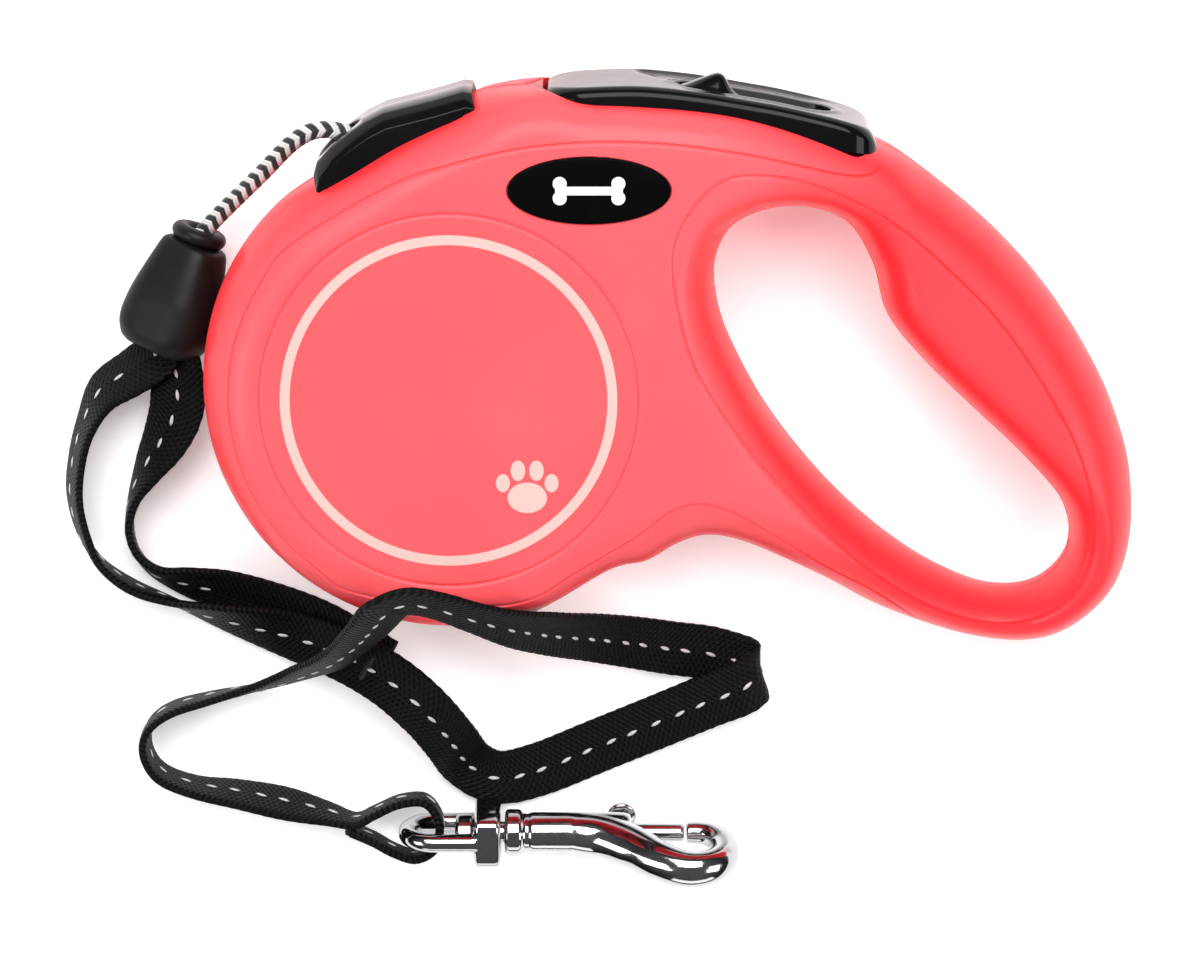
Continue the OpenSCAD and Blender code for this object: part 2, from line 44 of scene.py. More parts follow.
# ------------------------------------------------------------------ driving sizes, in millimetres
MM = 0.001                          # metres in a millimetre
AXIS = np.array([-38.0, -4.0])      # spool's axis
BODY_R = 43.5                       # round end of the casing
CASE_H = 18.0                       # half the casing's thickness, and the height of its middle plane
GRIP_H = 14.0                       # half the grip's thickness
WALL = 2.2                          # shell wall
RIM_W = 9.5                         # width of the rounded outer rim
HOLE_W = 7.0                        # width of the rounded rim of the handle's opening
GROOVE_R = 38.0                     # belt groove around the spool
GROOVE_W = 0.34                     # every groove's half width and depth
GROOVE_DEEP = 0.4
LABEL_R = 32.7                      # round label's groove
RING_R = 28.2                       # printed ring
RING_W = 1.7
PAW = (-24.5, -21.0)                # printed paw
BADGE = np.array([-13.8, 32.7])     # oval badge: centre and half sizes
BADGE_A, BADGE_B = 14.0, 5.8
BADGE_DEEP = 0.75
SLOT_X = (-22.7, 36.3)              # button's slot: its ends and half width
SLOT_Z = 12.4
OUTLET_Z = 10.2                     # half width of the cord outlet's seat
SCREWS = [(2, -22), (1.6, 11.5), (46, 21.5), (64.5, 0.5), (76, -32)]
SCREW_R = 2.9                       # recess over a screw head, and its depth from the floor
SCREW_DEEP = 6.9
CORD_D = 3.0
BRAID_PITCH = 2.4                   # along the cord, for one turn of the braid's stripe
BRAID_ZIG = 0.62                    # how far the stripe leans, in pitches
W = 10.0                            # strap's width and thickness
STRAP_T = 1.6
WEAVE = 1.05                        # along the strap, for one rib of the weave
DASH_PITCH = 4.6                    # from stitch to stitch
DASH_SLANT = 0.16                   # how far a stitch leans across the strap

# ------------------------------------------------------------------ camera, light and floor
TILT = math.radians(13)
TARGET = Vector((-11.93, -21.99, 18)) * MM
DISTANCE = 0.882
LENS = 150
SENSOR = 36


def make_camera():
    data = bpy.data.cameras.new("camera")
    data.lens = LENS
    data.sensor_width = SENSOR
    data.dof.use_dof = False
    data.clip_end = 10
    cam = bpy.data.objects.new("camera", data)
    cam.location = TARGET + DISTANCE * Vector((0, math.sin(TILT), math.cos(TILT)))
    cam.rotation_euler = (-TILT, 0, 0)
    scene.collection.objects.link(cam)
    scene.camera = cam


def area_light(name, place, aim, size, power, size_y=None):
    data = bpy.data.lights.new(name, "AREA")
    data.shape = "RECTANGLE"
    data.size = size
    data.size_y = size_y or size
    data.energy = power
    lamp = bpy.data.objects.new(name, data)
    lamp.location = place
    lamp.rotation_euler = (Vector(aim) - Vector(place)).to_track_quat("-Z", "Y").to_euler()
    scene.collection.objects.link(lamp)


def make_studio():
    world = bpy.data.worlds.new("studio")
    scene.world = world
    world.use_nodes = True
    tree = world.node_tree
    back = tree.nodes["Background"]
    coords = tree.nodes.new("ShaderNodeTexCoord")
    split = tree.nodes.new("ShaderNodeSeparateXYZ")
    tree.links.new(coords.outputs["Generated"], split.inputs[0])
    ramp = tree.nodes.new("ShaderNodeValToRGB")
    ramp.color_ramp.elements[0].position = 0.12
    ramp.color_ramp.elements[0].color = (0.015, 0.015, 0.016, 1)
    ramp.color_ramp.elements[1].position = 0.75
    ramp.color_ramp.elements[1].color = (0.42, 0.43, 0.45, 1)
    tree.links.new(split.outputs["Z"], ramp.inputs[0])
    tree.links.new(ramp.outputs[0], back.inputs["Color"])
    back.inputs["Strength"].default_value = 0.3
    area_light("key", (-0.1, 0.8, 1.2), (0, 0, 0), 1.2, 29, 1.0)
    area_light("fill", (1.0, -0.2, 0.9), (0, 0, 0), 0.7, 8)
    area_light("left", (-1.1, -0.2, 0.9), (-0.02, -0.03, 0), 0.6, 8)
    area_light("front", (0.1, -1.3, 0.4), (0, 0, 0), 1.6, 4, 0.4)
    scene.view_settings.view_transform = "Standard"
    scene.view_settings.exposure = 0.0


def make_floor():
    mesh = bpy.data.meshes.new("floor")
    half = 3.0
    mesh.from_pydata([(-half, -half, 0), (half, -half, 0), (half, half, 0), (-half, half, 0)],
                     [], [(0, 1, 2, 3)])
    floor = bpy.data.objects.new("floor", mesh)
    floor.location.z = -0.0002
    scene.collection.objects.link(floor)
    net = Net("floor_paper")
    grain = net.noise(900, 3)
    net.shade(color=(0.93, 0.93, 0.935, 1), rough=0.75, spec=0.15, bump=(grain, 0.02, 0.0001))
    net.put(net.bsdf.inputs["Emission Color"], (1, 1, 1, 1))
    net.put(net.bsdf.inputs["Emission Strength"], 0.3)
    mesh.materials.append(net.mat)


# ------------------------------------------------------------------ material helper
class Net:
    """A short way to write a node material."""

    def __init__(self, name):
        self.mat = bpy.data.materials.new(name)
        self.mat.use_nodes = True
        self.tree = self.mat.node_tree
        self.bsdf = self.tree.nodes["Principled BSDF"]
        self.coords = self.tree.nodes.new("ShaderNodeTexCoord")

    def new(self, kind, inputs, out=0, **props):
        item = self.tree.nodes.new(kind)
        for key, value in props.items():
            setattr(item, key, value)
        for key, value in inputs.items():
            self.put(item.inputs[key], value)
        return item.outputs[out]

    def put(self, socket, value):
        if isinstance(value, bpy.types.NodeSocket):
            self.tree.links.new(value, socket)
        else:
            socket.default_value = value

    def math(self, op, a, b=0.0, c=0.0):
        return self.new("ShaderNodeMath", {0: a, 1: b, 2: c}, operation=op)

    def add(self, a, b):
        return self.math("ADD", a, b)

    def sub(self, a, b):
        return self.math("SUBTRACT", a, b)

    def mul(self, a, b):
        return self.math("MULTIPLY", a, b)

    def noise(self, scale, detail=2.0, rough=0.5, vector=None):
        return self.new("ShaderNodeTexNoise",
                        {"Vector": vector or self.coords.outputs["Object"], "Scale": scale,
                         "Detail": detail, "Roughness": rough})

    def split(self, vector):
        item = self.tree.nodes.new("ShaderNodeSeparateXYZ")
        self.tree.links.new(vector, item.inputs[0])
        return item.outputs

    def ramp(self, value, low, high, at_low, at_high):
        """Value from at_low to at_high while the input goes from low to high."""
        return self.new("ShaderNodeMapRange",
                        {"Value": value, "From Min": low, "From Max": high, "To Min": at_low,
                         "To Max": at_high}, interpolation_type="SMOOTHSTEP")

    def mix(self, factor, a, b):
        item = self.tree.nodes.new("ShaderNodeMix")
        item.data_type = "RGBA"
        self.put(item.inputs["Factor"], factor)
        self.put(item.inputs[6], a)
        self.put(item.inputs[7], b)
        return item.outputs[2]

    def shade(self, color, rough, metal=0.0, spec=0.5, bump=None, coat=0.0, sheen=0.0):
        put = self.put
        ins = self.bsdf.inputs
        put(ins["Base Color"], color)
        put(ins["Roughness"], rough)
        put(ins["Metallic"], metal)
        put(ins["Specular IOR Level"], spec)
        put(ins["Coat Weight"], coat)
        put(ins["Coat Roughness"], 0.08)
        put(ins["Sheen Weight"], sheen)
        if bump:
            height, strength, distance = bump
            out = self.new("ShaderNodeBump", {"Height": height, "Strength": strength,
                                              "Distance": distance})
            put(ins["Normal"], out)
        return self.mat


# ------------------------------------------------------------------ mesh helpers
def make_object(name, verts, faces, mat, smooth=True, weld=True):
    """A mesh object from points in millimetres."""
    mesh = bpy.data.meshes.new(name)
    mesh.from_pydata([tuple(float(c) * MM for c in v) for v in verts], [],
                     [tuple(int(i) for i in f) for f in faces])
    mesh.validate()
    obj = bpy.data.objects.new(name, mesh)
    scene.collection.objects.link(obj)
    for m in mat if isinstance(mat, (list, tuple)) else [mat]:
        mesh.materials.append(m)
    if weld:
        tidy_mesh(mesh, 1e-6)
    if smooth:
        mesh.shade_smooth()
    return obj


def tidy_mesh(mesh, gap):
    bm = bmesh.new()
    bm.from_mesh(mesh)
    bmesh.ops.remove_doubles(bm, verts=bm.verts, dist=gap)
    bmesh.ops.dissolve_degenerate(bm, edges=bm.edges, dist=gap / 2)
    bmesh.ops.recalc_face_normals(bm, faces=bm.faces)
    bm.to_mesh(mesh)
    bm.free()


def sharpen(obj, degrees):
    """Marks edges sharper than the angle, so the rest shades smooth."""
    bm = bmesh.new()
    bm.from_mesh(obj.data)
    limit = math.radians(degrees)
    for e in bm.edges:
        e.smooth = not (len(e.link_faces) == 2 and e.calc_face_angle() > limit)
    bm.to_mesh(obj.data)
    bm.free()
    return obj


def modify(obj, kind, **values):
    mod = obj.modifiers.new(kind, kind)
    for key, value in values.items():
        setattr(mod, key, value)
    bpy.context.view_layer.objects.active = obj
    with bpy.context.temp_override(object=obj, active_object=obj, selected_objects=[obj]):
        bpy.ops.object.modifier_apply(modifier=mod.name)
    return obj


def skin(rings, ends="capped"):
    """Vertices and quads through rings of the same number of points; the ends are capped or joined."""
    n = len(rings[0])
    last = (len(rings) - 1) * n
    verts = [v for r in rings for v in r]
    faces = [(k * n + i, k * n + (i + 1) % n, (k + 1) * n + (i + 1) % n, (k + 1) * n + i)
             for k in range(len(rings) - 1) for i in range(n)]
    if ends == "capped":
        faces.append(tuple(range(n - 1, -1, -1)))
        faces.append(tuple(last + i for i in range(n)))
    else:
        faces += [(last + i, last + (i + 1) % n, (i + 1) % n, i) for i in range(n)]
    return verts, faces


def joined(parts):
    """Several (vertices, faces) pairs as one."""
    verts, faces = [], []
    for v, f in parts:
        base = len(verts)
        verts += list(v)
        faces += [tuple(base + i for i in face) for face in f]
    return verts, faces


def full_turn(n):
    return np.linspace(0, 2 * math.pi, n, endpoint=False)


def unit_rows(t):
    return t / np.linalg.norm(t, axis=1)[:, None]


def grid_points(xs, ys, shift):
    gx, gy = np.meshgrid(xs, ys)
    return np.stack([gx.ravel() + shift[0], gy.ravel() + shift[1]], 1)


def dress(obj, body, node):
    """Ties a piece to its body and hides the CAD node it stands in for."""
    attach(obj, body)
    if node:
        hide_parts(node)
    return obj


def catmull(points, steps, loop=False):
    """A smooth curve through the points."""
    p = [np.array(q, float) for q in points]
    n = len(p)
    out = []
    for i in range(n if loop else n - 1):
        if loop:
            a, b, c, d = p[i - 1], p[i], p[(i + 1) % n], p[(i + 2) % n]
        else:
            a, b, c, d = p[max(i - 1, 0)], p[i], p[i + 1], p[min(i + 2, n - 1)]
        for k in range(steps):
            t = k / steps
            out.append(0.5 * (2 * b + (c - a) * t + (2 * a - 5 * b + 4 * c - d) * t * t
                              + (3 * b - a - 3 * c + d) * t ** 3))
    if not loop:
        out.append(p[-1])
    return np.array(out)


def resample(line, step):
    """Points at an even spacing along a polyline."""
    line = np.asarray(line, float)
    run = np.concatenate([[0], np.cumsum(np.linalg.norm(np.diff(line[:, :3], axis=0), axis=1))])
    count = max(2, int(round(run[-1] / step)) + 1)
    at = np.linspace(0, run[-1], count)
    return np.stack([np.interp(at, run, line[:, k]) for k in range(line.shape[1])], 1), at


def tangents(p):
    return unit_rows(np.gradient(p, axis=0))


def add_uv(obj, values):
    """values: one (u, v) for each vertex."""
    layer = obj.data.uv_layers.new(name="cloth")
    for loop in obj.data.loops:
        layer.data[loop.index].uv = values[loop.vertex_index]


# ------------------------------------------------------------------ materials
def red_plastic():
    """Moulded red with its printed ring and paw; the high flat faces carry a painted sheen, a paler red than
    the rims, standing in for the light from above.
    """
    net = Net("red_moulded_plastic")
    x, y, z = net.split(net.coords.outputs["Object"])
    dx = net.sub(x, AXIS[0] * MM)
    dy = net.sub(y, AXIS[1] * MM)
    r = net.math("SQRT", net.add(net.mul(dx, dx), net.mul(dy, dy)))
    off = net.math("ABSOLUTE", net.sub(r, RING_R * MM))
    mark = net.ramp(off, (RING_W / 2 - 0.06) * MM, (RING_W / 2 + 0.06) * MM, 1, 0)
    for px, py, a, b in ((0, 0, 3.4, 2.7), (-4.2, 2.6, 1.2, 1.6), (-1.6, 4.8, 1.25, 1.8),
                         (1.6, 4.8, 1.25, 1.8), (4.2, 2.6, 1.2, 1.6)):
        ex = net.math("DIVIDE", net.sub(x, (PAW[0] + px) * MM), a * MM)
        ey = net.math("DIVIDE", net.sub(y, (PAW[1] + py) * MM), b * MM)
        e = net.add(net.mul(ex, ex), net.mul(ey, ey))
        mark = net.math("MAXIMUM", mark, net.ramp(e, 0.94, 1.06, 1, 0))
    rise = net.math("ABSOLUTE", net.sub(z, CASE_H * MM))
    mark = net.mul(mark, net.math("GREATER_THAN", rise, (CASE_H - 0.2) * MM))
    cloud = net.noise(18, 3)
    speck = net.noise(1500, 2)
    scuff = net.noise(60, 4, 0.7)
    rim = net.mix(net.ramp(cloud, 0.35, 0.65, 0, 1), (0.86, 0.026, 0.036, 1), (0.90, 0.032, 0.043, 1))
    # painted sheen: the faces' paler red is blended in where the shell stands high over its middle plane, in
    # place of the light from above
    face = net.mix(net.ramp(cloud, 0.35, 0.65, 0, 1), (0.88, 0.088, 0.102, 1), (0.92, 0.100, 0.114, 1))
    base = net.mix(net.ramp(rise, 0.0115, 0.0176, 0, 1), rim, face)
    color = net.mix(mark, base, (0.62, 0.42, 0.38, 1))
    rough = net.add(net.ramp(scuff, 0.3, 0.7, 0.36, 0.43), net.mul(mark, 0.1))
    height = net.add(net.mul(speck, 0.25), net.mul(mark, 0.6))
    net.shade(color, rough, bump=(height, 0.12, 0.00006), spec=0.22)
    net.put(net.bsdf.inputs["Subsurface Weight"], 0.08)
    net.put(net.bsdf.inputs["Subsurface Radius"], (0.002, 0.0006, 0.0006))
    net.put(net.bsdf.inputs["Subsurface Scale"], 0.5)
    return net.mat


def black_gloss():
    net = Net("black_polished_plastic")
    smear = net.noise(45, 4, 0.65)
    fine = net.noise(2200, 2)
    color = net.mix(smear, (0.003, 0.003, 0.0033, 1), (0.006, 0.006, 0.0065, 1))
    return net.shade(color, net.ramp(smear, 0.3, 0.75, 0.10, 0.20), spec=0.13,
                     bump=(fine, 0.05, 0.00004))


def black_satin():
    net = Net("black_satin_plastic")
    grain = net.noise(2600, 3, 0.6)
    cloud = net.noise(90, 3)
    color = net.mix(cloud, (0.004, 0.004, 0.0043, 1), (0.009, 0.009, 0.0095, 1))
    return net.shade(color, net.ramp(cloud, 0.3, 0.7, 0.40, 0.50), spec=0.17,
                     bump=(grain, 0.35, 0.00008))


def plated():
    net = Net("bright_plated_metal")
    cloud = net.noise(140, 3)
    fine = net.noise(900, 4, 0.6)
    color = net.mix(cloud, (0.40, 0.40, 0.415, 1), (0.52, 0.52, 0.535, 1))
    return net.shade(color, net.ramp(fine, 0.3, 0.75, 0.07, 0.16), metal=1.0,
                     bump=(net.noise(260, 2), 0.06, 0.0002))


def steel(name, color, rough):
    net = Net(name)
    streak = net.noise(700, 4, 0.7)
    tone = net.mix(streak, tuple(c * 0.8 for c in color[:3]) + (1,), color)
    return net.shade(tone, net.ramp(streak, 0.3, 0.7, rough, rough + 0.12), metal=1.0,
                     bump=(streak, 0.1, 0.00005))


def moulded(name, color, rough):
    net = Net(name)
    cloud = net.noise(120, 3)
    tone = net.mix(cloud, tuple(c * 0.85 for c in color[:3]) + (1,), color)
    return net.shade(tone, net.ramp(cloud, 0.3, 0.7, rough, rough + 0.1),
                     bump=(net.noise(1800, 2), 0.15, 0.00005))


def webbing():
    """Black woven band: u runs along it and v across it, in millimetres."""
    net = Net("black_woven_webbing")
    u, v, _ = net.split(net.coords.outputs["UV"])
    av = net.math("ABSOLUTE", v)
    lean = net.add(u, net.mul(av, 0.75))
    warp = net.math("SINE", net.mul(v, 2 * math.pi / 0.9))
    weft = net.math("SINE", net.mul(lean, 2 * math.pi / WEAVE))
    knots = net.mul(warp, weft)
    fuzz = net.noise(3200, 3, 0.7)
    height = net.add(net.mul(knots, 0.35), net.mul(weft, 0.35))
    height = net.add(height, net.mul(fuzz, 0.35))
    lit = net.ramp(height, -0.2, 0.9, 0, 1)
    color = net.mix(lit, (0.001, 0.001, 0.0011, 1), (0.008, 0.008, 0.0085, 1))
    return net.shade(color, 0.5, spec=0.08, bump=(height, 0.8, 0.0003))


def stitch_thread():
    net = Net("pale_reflective_thread")
    twist = net.noise(2400, 2)
    color = net.mix(twist, (0.30, 0.30, 0.31, 1), (0.62, 0.62, 0.63, 1))
    return net.shade(color, 0.4, spec=0.6, bump=(twist, 0.4, 0.0001))


def label(name, dark, light, rough, spec):
    net = Net(name)
    cloud = net.noise(160, 3)
    fine = net.noise(1800, 2)
    return net.shade(net.mix(cloud, dark, light), net.ramp(cloud, 0.3, 0.7, rough, rough + 0.06), spec=spec,
                     bump=(fine, 0.06, 0.00004))


def bar_tack():
    net = Net("black_bar_tack_thread")
    wave = net.new("ShaderNodeTexWave", {"Vector": net.coords.outputs["Object"], "Scale": 900,
                                         "Distortion": 2.0}, out="Fac")
    color = net.mix(wave, (0.006, 0.006, 0.007, 1), (0.015, 0.015, 0.016, 1))
    return net.shade(color, 0.6, bump=(wave, 0.6, 0.0002))


def braided_cord():
    """Black and pale braid: u along it in millimetres, v once around it."""
    net = Net("black_white_braid")
    u, v, _ = net.split(net.coords.outputs["UV"])
    zig = net.math("PINGPONG", net.mul(v, 4.0), 1.0)
    phase = net.add(net.math("DIVIDE", u, BRAID_PITCH), net.mul(zig, BRAID_ZIG))
    stripe = net.math("SINE", net.mul(phase, 2 * math.pi))
    yarn = net.math("SINE", net.mul(phase, 4 * math.pi))
    fuzz = net.noise(3000, 3, 0.7)
    tone = net.ramp(net.add(stripe, net.mul(fuzz, 0.3)), 0.05, 0.35, 0, 1)
    color = net.mix(tone, (0.010, 0.010, 0.011, 1), (0.62, 0.61, 0.59, 1))
    height = net.add(net.mul(net.math("ABSOLUTE", yarn), 0.8),
                      net.mul(fuzz, 0.3))
    return net.shade(color, 0.55, spec=0.35, sheen=0.2, bump=(height, 0.7, 0.0003))


red = red_plastic()
gloss = black_gloss()
satin = black_satin()
chrome = plated()
web = webbing()
thread = stitch_thread()
tack = bar_tack()
braid = braided_cord()
label_black = label("black_label_film", (0.001, 0.001, 0.001, 1), (0.002, 0.002, 0.0022, 1), 0.4, 0.03)
label_white = label("white_label_print", (0.70, 0.70, 0.70, 1), (0.78, 0.78, 0.78, 1), 0.4, 0.3)
plain_steel = steel("plain_steel", (0.56, 0.56, 0.58, 1), 0.25)
brass = steel("sheet_brass", (0.78, 0.60, 0.28, 1), 0.3)
seam_red = moulded("parting_line_shadow", (0.42, 0.012, 0.018, 1), 0.6)
drum_black = moulded("drum_acetal", (0.05, 0.05, 0.055, 1), 0.4)
nylon = moulded("natural_nylon", (0.78, 0.76, 0.68, 1), 0.45)

make_camera()
make_studio()
make_floor()

# ------------------------------------------------------------------ cord and strap
INNER_RUN = [(-25.2, 25.6, 18), (-33, 29.2, 18), (-43, 33.8, 18), (-52, 37.9, 18)]
LEAD = [(-51.6, 37.7, 18), (-56.5, 39.9, 18), (-59.5, 40.4, 17.8), (-62.5, 39.8, 17.2),
        (-66, 37.4, 16), (-70.9, 32.2, 13.8), (-75.8, 27.2, 11.2), (-80, 22.8, 9.2),
        (-82.8, 19.4, 8.1), (-84.2, 15.6, 8), (-85.6, 11.8, 8)]
STOP_TOP = np.array([-82.7, 20, 8])
STOP_END = np.array([-90.2, -0.2, 8])
# each row: x, y, z, compass angle and rise of the width, width
MAIN = [
    (-88.6, 4, 8, -20, 12, 9), (-90.6, -1.4, 7.6, -28, 30, 9.4), (-95, -4.8, 7, -45, 45, W),
    (-100.4, -8.6, 6, -40, 55, W), (-103.6, -14.6, 5.7, -25, 70, W), (-105.4, -21, 5.7, -10, 73, W),
    (-106, -28, 5.7, 0, 73, W), (-104.5, -35, 5.6, 15, 75, W), (-101.6, -40.3, 5.6, 40, 82, W),
    (-96.3, -44.4, 5.6, 55, 86, W), (-90, -47, 5.5, 65, 80, W), (-83, -49.2, 5.4, 70, 62, W),
    (-75, -51.6, 5, 72, 40, W), (-66, -54, 5.8, 70, 15, W), (-57, -56.8, 9.2, 65, 5, W),
    (-49.5, -60.2, 13, 52, 0, W), (-43.2, -65.4, 14.4, 32, -5, W), (-38.9, -72.2, 9.4, 28, -8, W),
    (-35.8, -78.4, 3, 42, 0, W), (-30.4, -81.5, 1.2, 80, 0, W), (-22.8, -79.9, 1.1, 108, 0, W),
    (-12, -75.2, 1.8, 114, 0, W), (-1.5, -70.3, 3.6, 114, 0, W), (7.3, -66, 5.6, 114, 0, W),
    (13.2, -63.4, 6.6, 110, 0, W), (16, -61.6, 5.6, 107, 0, W), (16.6, -60.8, 3.8, 105, 0, W),
    (15.6, -60, 2.4, 103, 0, W), (12.6, -59.2, 1.5, 100, 0, W), (7.5, -58, 1.1, 96, 0, W),
    (1, -56.8, 2.4, 90, 5, W), (-6, -54.6, 6.6, 84, 14, W), (-13, -51.9, 13.4, 78, 24, W),
    (-20, -48.9, 22.2, 74, 34, W), (-27, -45.4, 31.2, 72, 44, W), (-33.5, -42.2, 36.6, 70, 50, W),
    (-40, -39.3, 39.8, 72, 52, W), (-45.2, -38.2, 41, 90, 52, W), (-48.8, -39.8, 40, 120, 54, W),
    (-51.8, -44.4, 34, 135, 58, W), (-55.4, -50, 25.4, 136, 62, W), (-60.2, -55.2, 18, 130, 62, W),
    (-65.6, -59, 11.8, 120, 66, W), (-73, -62.6, 7.4, 112, 74, W), (-82, -65.2, 5.8, 105, 84, W),
    (-89.3, -67.4, 5.6, 120, 88, W), (-93.4, -70.6, 5.6, 180, 88, W), (-94.2, -75, 5.6, 180, 88, W),
    (-91.6, -79.4, 5.6, 240, 88, W), (-85.5, -82, 5.6, 260, 86, W), (-77.5, -83.4, 5.6, 260, 78, W),
    (-68.8, -85.2, 5.7, 256, 72, 9.6), (-61.5, -87, 5.9, 255, 80, 8.4),
    (-56.4, -88.2, 6.3, 255, 88, 7), (-52.6, -86.4, 6.7, 240, 90, 6.2),
    (-48.4, -84.4, 7, 250, 90, 6), (-44, -84, 7, 280, 90, 6), (-41.6, -86.4, 7, 0, 90, 6),
    (-41, -89.6, 7, 0, 90, 6), (-42, -93, 7, 40, 90, 6), (-45.4, -94.8, 6.9, 80, 90, 6),
    (-49.4, -93.6, 6.8, 110, 90, 6), (-53, -91.6, 6.6, 110, 90, 6.4), (-57, -89.9, 6.3, 105, 88, 7)]
INNER = [
    (-88.2, 4.4, 8, -20, 8, 9), (-87.2, -3.4, 7.8, -12, 12, 9.4), (-86.9, -8, 7.4, -6, 6, W),
    (-87.6, -12.5, 7, -12, 16, W), (-89.6, -17.2, 6.6, -22, 36, W), (-92.6, -22.2, 6.2, -22, 60, W),
    (-95.2, -27.5, 5.8, -10, 80, W), (-96.3, -33, 5.6, 5, 86, W), (-95.2, -38, 5.6, 25, 80, W),
    (-91.8, -41.6, 5.6, 45, 68, W), (-86.4, -43.6, 4.8, 62, 48, W), (-79.4, -45.8, 3.6, 70, 30, W),
    (-71, -48.8, 3, 70, 20, W), (-62.5, -52, 4.6, 68, 12, W), (-55.2, -55.6, 7.8, 62, 4, W),
    (-50.6, -58, 10, 56, 0, W)]


def length_of(points):
    return float(np.linalg.norm(np.diff(points, axis=0), axis=1).sum())


def frames_along(p):
    """A twist-free pair of side directions at each point."""
    t = tangents(p)
    u = np.cross(t[0], (0, 0, 1))
    u /= np.linalg.norm(u)
    sides = []
    for k in range(len(p)):
        u = u - t[k] * np.dot(u, t[k])
        u /= np.linalg.norm(u)
        sides.append((u.copy(), np.cross(t[k], u)))
    return sides


def braid_tube(name, route, around=40, step=0.2):
    line, at = resample(catmull(route, 12), step)
    rings, uv = [], []
    for k, (u, v) in enumerate(frames_along(line)):
        ring = []
        for i in range(around):
            a = 2 * math.pi * i / around
            zig = abs(((4 * i / around) % 2) - 1)
            lump = abs(math.sin(2 * math.pi * (at[k] / BRAID_PITCH + BRAID_ZIG * (1 - zig))))
            r = CORD_D / 2 * (0.93 + 0.1 * lump)
            ring.append(line[k] + r * (math.cos(a) * u + math.sin(a) * v))
            uv.append((at[k], i / around))
        rings.append(ring)
    verts, faces = skin(rings)
    obj = make_object(name, verts, faces, braid)
    layer = obj.data.uv_layers.new(name="cloth")
    for poly in obj.data.polygons:
        ids = [obj.data.loops[i].vertex_index for i in poly.loop_indices]
        wrap = max(uv[j][1] for j in ids) - min(uv[j][1] for j in ids) > 0.5
        for i, j in zip(poly.loop_indices, ids):
            u, v = uv[j]
            layer.data[i].uv = (u, v + 1 if wrap and v < 0.5 else v)
    return obj, line


def width_direction(compass, rise):
    """Unit vector from a compass angle and a rise, in degrees."""
    a, e = math.radians(compass), math.radians(rise)
    return math.cos(e) * math.cos(a), math.cos(e) * math.sin(a), math.sin(e)


def dash(centre, run, cross, v):
    """One raised stitch, fat in its middle."""
    rings = []
    for q in (-1, -0.5, 0, 0.5, 1):
        fat = math.sqrt(max(0.06, 1 - q * q))
        ahead, wide, high = run * q * 1.05, cross * 0.36 * fat, v * 0.24 * fat
        rings.append([centre + ahead + wide * math.cos(a) + high * math.sin(a) for a in full_turn(8)])
    return skin(rings)


def band(name, rows, dash_from=0.0, dash_to=1e9, step=0.7):
    """Webbing along the listed rows, with a line of raised stitches on both its faces."""
    table = [(*row[:3], *width_direction(row[3], row[4]), row[5]) for row in rows]
    fine, at = resample(catmull(table, 10), step)
    line = fine[:, :3]
    t = tangents(line)
    rings, uv, sides = [], [], []
    around = 30
    for k in range(len(line)):
        w = fine[k, 3:6]
        w = w - t[k] * np.dot(w, t[k])
        w /= np.linalg.norm(w)
        v = np.cross(t[k], w)
        sides.append((w, v))
        edge = 1 + 0.012 * math.sin(at[k] * 2 * math.pi / WEAVE)
        ring = []
        for i in range(around):
            a = 2 * math.pi * (i + 0.5) / around
            c, s = math.cos(a), math.sin(a)
            x = math.copysign(abs(c) ** 0.32, c) * fine[k, 6] / 2 * edge
            y = math.copysign(abs(s) ** 0.55, s) * STRAP_T / 2
            ring.append(line[k] + x * w + y * v)
            uv.append((at[k], x))
        rings.append(ring)
    parts = [skin(rings)]
    first_dash = len(parts[0][0])
    pos = dash_from
    while pos < min(dash_to, at[-1] - 2):
        k = int(round(pos / step))
        w, v = sides[k]
        run = t[k] + DASH_SLANT * w
        run /= np.linalg.norm(run)
        for face in (1, -1):
            parts.append(dash(line[k] + face * v * (STRAP_T / 2 - 0.05), run, np.cross(v, run), v))
            uv += [(pos, 0.0)] * len(parts[-1][0])
        pos += DASH_PITCH
    obj = make_object(name, *joined(parts), [web, thread], weld=False)
    for poly in obj.data.polygons:
        poly.material_index = 1 if poly.vertices[0] >= first_dash else 0
    add_uv(obj, uv)
    return obj, line


inner_run, _ = braid_tube("cord_inner_braid", INNER_RUN, 24, 0.5)
dress(inner_run, "casing", "cord_inner_run")
lead, lead_line = braid_tube("cord_lead_braid", LEAD)
dress(lead, "casing", "cord_lead")
main_band, main_line = band("strap_main_band", MAIN, 14)
dress(main_band, "casing", "strap_main")
inner_band, inner_line = band("strap_inner_band", INNER, 9, 60)
dress(inner_band, "casing", "strap_inner")

# ------------------------------------------------------------------ casing
LOOP = [(-3.5, -35.6), (2.5, -32.2), (7.5, -31), (14, -32.5), (23, -36.6), (33, -41.4),
        (44, -45.9), (54, -48.8), (63.5, -49.6), (72, -47.3), (78.5, -41.3), (81.5, -32.5),
        (81.3, -23), (79, -13), (74.5, -2), (66.5, 11), (57.5, 21.5), (47.5, 30.3), (37, 37.6),
        (25, 42.2), (11, 45.6), (-5, 47.2), (-20, 47.4), (-34, 46), (-45, 41.7)]
HOLE = [(35.8, 17), (31.3, 24.3), (24.5, 27.5), (17, 27.3), (10.8, 23.8), (8, 17), (8.8, 9),
        (12, 1), (17, -8), (23.5, -16.8), (31, -25), (39.5, -32.3), (48.5, -38), (57.5, -41.2),
        (65.5, -40.3), (70.6, -34.5), (69.8, -26), (62.2, -16.8), (52.3, -7.4), (44, 0.8),
        (38.3, 8.2)]
